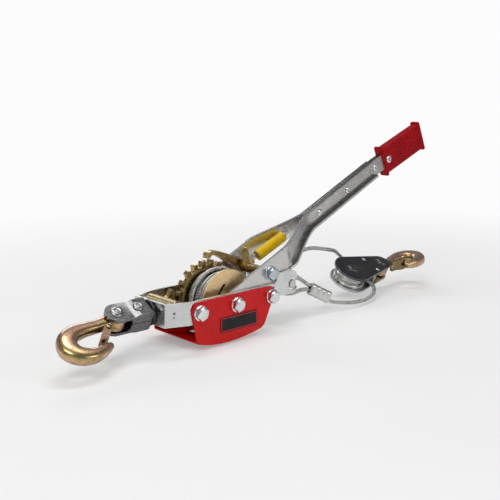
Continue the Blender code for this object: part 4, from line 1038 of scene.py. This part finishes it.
def rope(name, path, outer_r=CABLE_R):
    """Six strands laid round a core line."""
    lay, seg, spacing = 15.0, 8, 1.2
    path = [Vector(p) for p in path]
    reached = [0.0]
    for a, b in zip(path, path[1:]):
        reached.append(reached[-1] + (b - a).length)
    total = reached[-1]
    count = int(total / spacing)
    # even stations along the path
    stations = []
    j = 0
    for i in range(count + 1):
        distance = total * i / count
        while j < len(reached) - 2 and reached[j + 1] < distance:
            j += 1
        part = (distance - reached[j]) / max(reached[j + 1] - reached[j], 1e-9)
        stations.append(path[j].lerp(path[j + 1], min(max(part, 0), 1)))
    frames = frames_along(stations)
    strand_r = outer_r / 3.0 * 0.97
    orbit = outer_r - strand_r
    points, faces = [], []
    for strand in range(6):
        base = len(points)
        for i, (station, (ahead, up, side)) in enumerate(zip(stations, frames)):
            distance = total * i / count
            phase = tau * (distance / lay + strand / 6.0)
            outward = up * cos(phase) + side * sin(phase)
            sideways = side * cos(phase) - up * sin(phase)
            heading = (ahead * lay + sideways * (tau * orbit)).normalized()
            across = heading.cross(outward).normalized()
            centre = station + outward * orbit
            for w in range(seg):
                angle = tau * w / seg
                points.append(centre + (outward * cos(angle) + across * sin(angle)) * strand_r)
        for i in range(count):
            a, b = base + i * seg, base + (i + 1) * seg
            faces += [(a + w, a + (w + 1) % seg, b + (w + 1) % seg, b + w)
                      for w in range(seg)]
        faces.append(tuple(base + w for w in range(seg)))
        faces.append(tuple(base + count * seg + w for w in reversed(range(seg))))
    mesh = bpy.data.meshes.new(name)
    mesh.from_pydata([tuple((p - OFFSET) * MM) for p in points], [], faces)
    mesh.update()
    smooth_faces(mesh)
    return add_object(name, mesh)


def cable_run():
    """Free cable from the drum round the sheave and back, looped round the anchor pin."""
    path = [Vector(p) for p in DRUM_TO_BLOCK] + [BLOCK(*p) for p in ROUND_SHEAVE]
    path += [Vector(p) for p in BLOCK_TO_FERRULE]
    path += [FERRULE_FAR_END + FERRULE_ALONG * k - FERRULE_UP * SPLIT for k in LOWER_STRAND]
    path += [Vector(p) for p in ROUND_ANCHOR]
    path += [FERRULE_FAR_END + FERRULE_ALONG * k + FERRULE_UP * SPLIT for k in UPPER_STRAND]
    cable = rope("v_cable_run", smooth_path(path, 8))
    set_material(cable, ROPE)
    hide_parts("cable_run")
    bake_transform(cable)


def wound_cable():
    """One slightly uneven layer on the drum, a near-black filling under it as painted shade
    between the turns, and the last turn.
    """
    near, far = FLANGE_Y[1] + 0.3, RATCHET_NEAR_Y - 0.6
    wraps, steps = 6, 48
    layer_r = WOUND_R - CABLE_R
    wind = []
    for k in range(wraps * steps + 1):
        angle = tau * k / steps
        y = far - CABLE_R - (far - near - 2 * CABLE_R) * k / (wraps * steps)
        y += 0.35 * sin(angle + 0.8) + 0.25 * sin(angle * 2.3)
        wind.append(Vector((layer_r * cos(angle + 0.6), y, -layer_r * sin(angle + 0.6))))
    stand_for(rope("wound_cable", wind, 2.45), "wound_cable", ROPE)

    # near-black solid under the layer: painted shade in the gaps between turns
    filling = mirrored([(0, DRUM_R + 0.3), (0, layer_r - 0.6)], far - near)
    add_detail(turned("wound_under", (0, near, 0), (0, 1, 0), filling, seg=56, closed=True),
               "wound_cable", UNDER_LAYER_SHADE)

    # the last turn climbs onto the layer and leaves over the top of the drum
    last = []
    for k in range(41):
        part = k / 40.0
        angle = radians(82.0 + 250.0 * (1 - part))
        radius = 31.45 - 2.6 * max(0.0, 1 - part / 0.35) ** 1.5
        last.append(Vector((radius * cos(angle), -4.0 + 9.5 * (1 - part), radius * sin(angle))))
    add_detail(rope("last_turn", smooth_path(last, 3), 2.35), "wound_cable", ROPE)


def ferrule():
    """Pressed oval sleeve round both strands, with three crimp dents."""
    def oval(distance, radius, seg=14):
        return [FERRULE_FAR_END + FERRULE_ALONG * distance
                + FERRULE_UP * (sign * SPLIT + radius * sin(start + pi * k / seg))
                + FERRULE_SIDE * (radius * cos(start + pi * k / seg))
                for sign, start in ((1, 0), (-1, pi)) for k in range(seg + 1)]

    # distance from the ends and dents, oval radius
    end = [(0, 3.6), (0.3, 4.2), (0.9, 4.55)]
    dent = [(-2.4, 4.6), (-1.6, 4.35), (0, 4.15), (1.6, 4.35), (2.4, 4.6)]
    dents = [(at + d, r) for at in (6.5, 13.5, 20.5) for d, r in dent]
    profile = mirrored(end, FERRULE_LEN, middle=dents) + [(FERRULE_LEN, 2.6), (0, 2.6)]
    stand_for(skin("cable_ferrule", [oval(d, r) for d, r in profile], closed=True),
              "cable_ferrule", FERRULE)


# ---------------------------------------------------------------- floor, light and camera
def floor_material():
    """Pale floor that fades to an even white glow away from the winch."""
    look = Surface("pale_floor")
    colour = look.mix(look.rise(look.noise(scale=3.0, detail=3.0, rough=0.5), 0.3, 0.7),
                      (0.90, 0.90, 0.90), (0.94, 0.94, 0.935))
    normal = look.bump(look.noise(scale=300.0, detail=2.0, rough=0.5),
                       strength=0.03, distance=0.0002)
    look.done(colour, 0.7, normal, metallic=0.0, specular=0.2)
    reach = look.add("ShaderNodeVectorMath", operation="LENGTH")
    look.link(look.add("ShaderNodeNewGeometry").outputs["Position"], reach.inputs[0])
    away = look.map_range(reach.outputs["Value"], source=(0.22, 1.0), target=(0.30, 1.0),
                          interpolation_type="SMOOTHSTEP")
    seen = look.math("MULTIPLY", away,
                     look.add("ShaderNodeLightPath").outputs["Is Camera Ray"])
    glow = look.add("ShaderNodeEmission")
    glow.inputs["Color"].default_value = (1.0, 1.0, 1.0, 1.0)
    glow.inputs["Strength"].default_value = 0.97
    blend = look.add("ShaderNodeMixShader")
    look.link(seen, blend.inputs[0])
    look.link(look.shader.outputs[0], blend.inputs[1])
    look.link(glow.outputs[0], blend.inputs[2])
    output = [node for node in look.tree.nodes if node.type == "OUTPUT_MATERIAL"][0]
    look.link(blend.outputs[0], output.inputs[0])
    return look.material


def backdrop():
    """Floor that curves up into a wall behind the winch. Lengths are metres."""
    floor_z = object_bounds()[0].z - 0.0005
    flat_end, bend_r, wall_top, half_width = 2.2, 1.0, 4.5, 5.0
    away_x, away_y = 0.6767, 0.7363   # floor direction away from the camera
    profile = [(-3.0, 0.0), (flat_end, 0.0)]
    profile += [(flat_end + bend_r * sin(radians(a)), bend_r - bend_r * cos(radians(a)))
                for a in range(10, 91, 10)]
    profile.append((flat_end + bend_r, wall_top))
    points = [(d * away_x - w * away_y, d * away_y + w * away_x, floor_z + z)
              for d, z in profile for w in (-half_width, half_width)]
    faces = [(2 * i, 2 * i + 1, 2 * i + 3, 2 * i + 2) for i in range(len(profile) - 1)]
    material = floor_material()
    mesh = bpy.data.meshes.new("sweep")
    mesh.from_pydata(points, [], faces)
    smooth_faces(mesh)
    mesh.materials.append(material)
    add_object("backdrop", mesh)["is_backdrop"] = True


# height of a direction (0 straight down, 1 straight up), brightness
SKY = [(0.0, 0.10), (0.35, 0.05), (0.47, 0.06), (0.54, 0.35), (0.64, 1.0), (0.74, 0.45),
       (0.84, 0.20), (1.0, 1.0)]


def studio_world():
    """Banded grey surroundings for reflections, plain white to the camera."""
    world = bpy.data.worlds.new("studio")
    bpy.context.scene.world = world
    world.use_nodes = True
    sky = Tree(world.node_tree)
    background = sky.tree.nodes["Background"]
    split = sky.add("ShaderNodeSeparateXYZ")
    sky.link(sky.add("ShaderNodeTexCoord").outputs["Generated"], split.inputs[0])
    bands = sky.ramp(sky.map_range(split.outputs["Z"], source=(-1.0, 1.0)), SKY)
    path = sky.add("ShaderNodeLightPath")
    colour = sky.mix(path.outputs["Is Camera Ray"], bands, (2.0, 2.0, 2.0))
    sky.link(colour, background.inputs["Color"])
    background.inputs["Strength"].default_value = 0.52


def from_axle(point):
    """Scene position of a point in metres from the drum axle."""
    return Vector(point) - OFFSET * MM


# name, place and aim from the drum axle, width, height (metres), watts
LIGHTS = [
    ("key", (-1.1, -0.55, 1.25), (0.05, 0.0, 0.0), 0.9, 0.6, 9.5),
    ("fill", (0.55, -1.35, 0.65), (0.08, 0.0, 0.0), 0.6, 0.4, 3.6),
    ("top", (0.2, 0.2, 1.5), (0.08, 0.0, 0.0), 0.9, 0.5, 7.0),
    ("rim", (0.5, 1.3, 0.8), (0.08, 0.0, 0.05), 0.8, 0.4, 4.0)]


def area_light(name, place, aim, width, height, power):
    light = bpy.data.lights.new(name, "AREA")
    light.energy = power
    light.shape = "RECTANGLE"
    light.size = width
    light.size_y = height
    ob = bpy.data.objects.new(name, light)
    place, aim = from_axle(place), from_axle(aim)
    ob.location = place
    ob.rotation_euler = (aim - place).to_track_quat("-Z", "Y").to_euler()
    bpy.context.scene.collection.objects.link(ob)


def camera():
    """Level camera, shifted down instead of tilted."""
    data = bpy.data.cameras.new("camera")
    data.sensor_width = 36.0
    data.lens = 57.6
    data.shift_y = -0.313
    data.clip_start = 0.01
    ob = add_object("camera", data)
    ob.location = from_axle((-0.55176, -0.65697, 0.21875))
    ob.rotation_euler = (radians(90), 0, -0.743279)
    bpy.context.scene.camera = ob
    bpy.context.scene.view_settings.view_transform = "Standard"


# ---------------------------------------------------------------- build
for piece in CAD_PIECES:
    cad_piece(*piece)
slot_floor()
label()
for name, x, z, seat, bolt_material, nut_material in CROSS_BOLTS:
    cross_bolt(name + "_bolt", x, z, seat, bolt_material)
    cross_nut(name + "_nut", x, z, seat, nut_material)
rear_spacer()
swivel()
for row in RIVETS:
    rivet(*row)
pin_ring("sheave_axle", 0, 6.6)
pin_ring("block_hook_pin", BLOCK_PITCH, 7.0)
sheave()
stop_pawl_spring()
pawl_spring()
front_hook()
block_hook()
grip()
cable_run()
wound_cable()
ferrule()

backdrop()
studio_world()
for row in LIGHTS:
    area_light(*row)
camera()
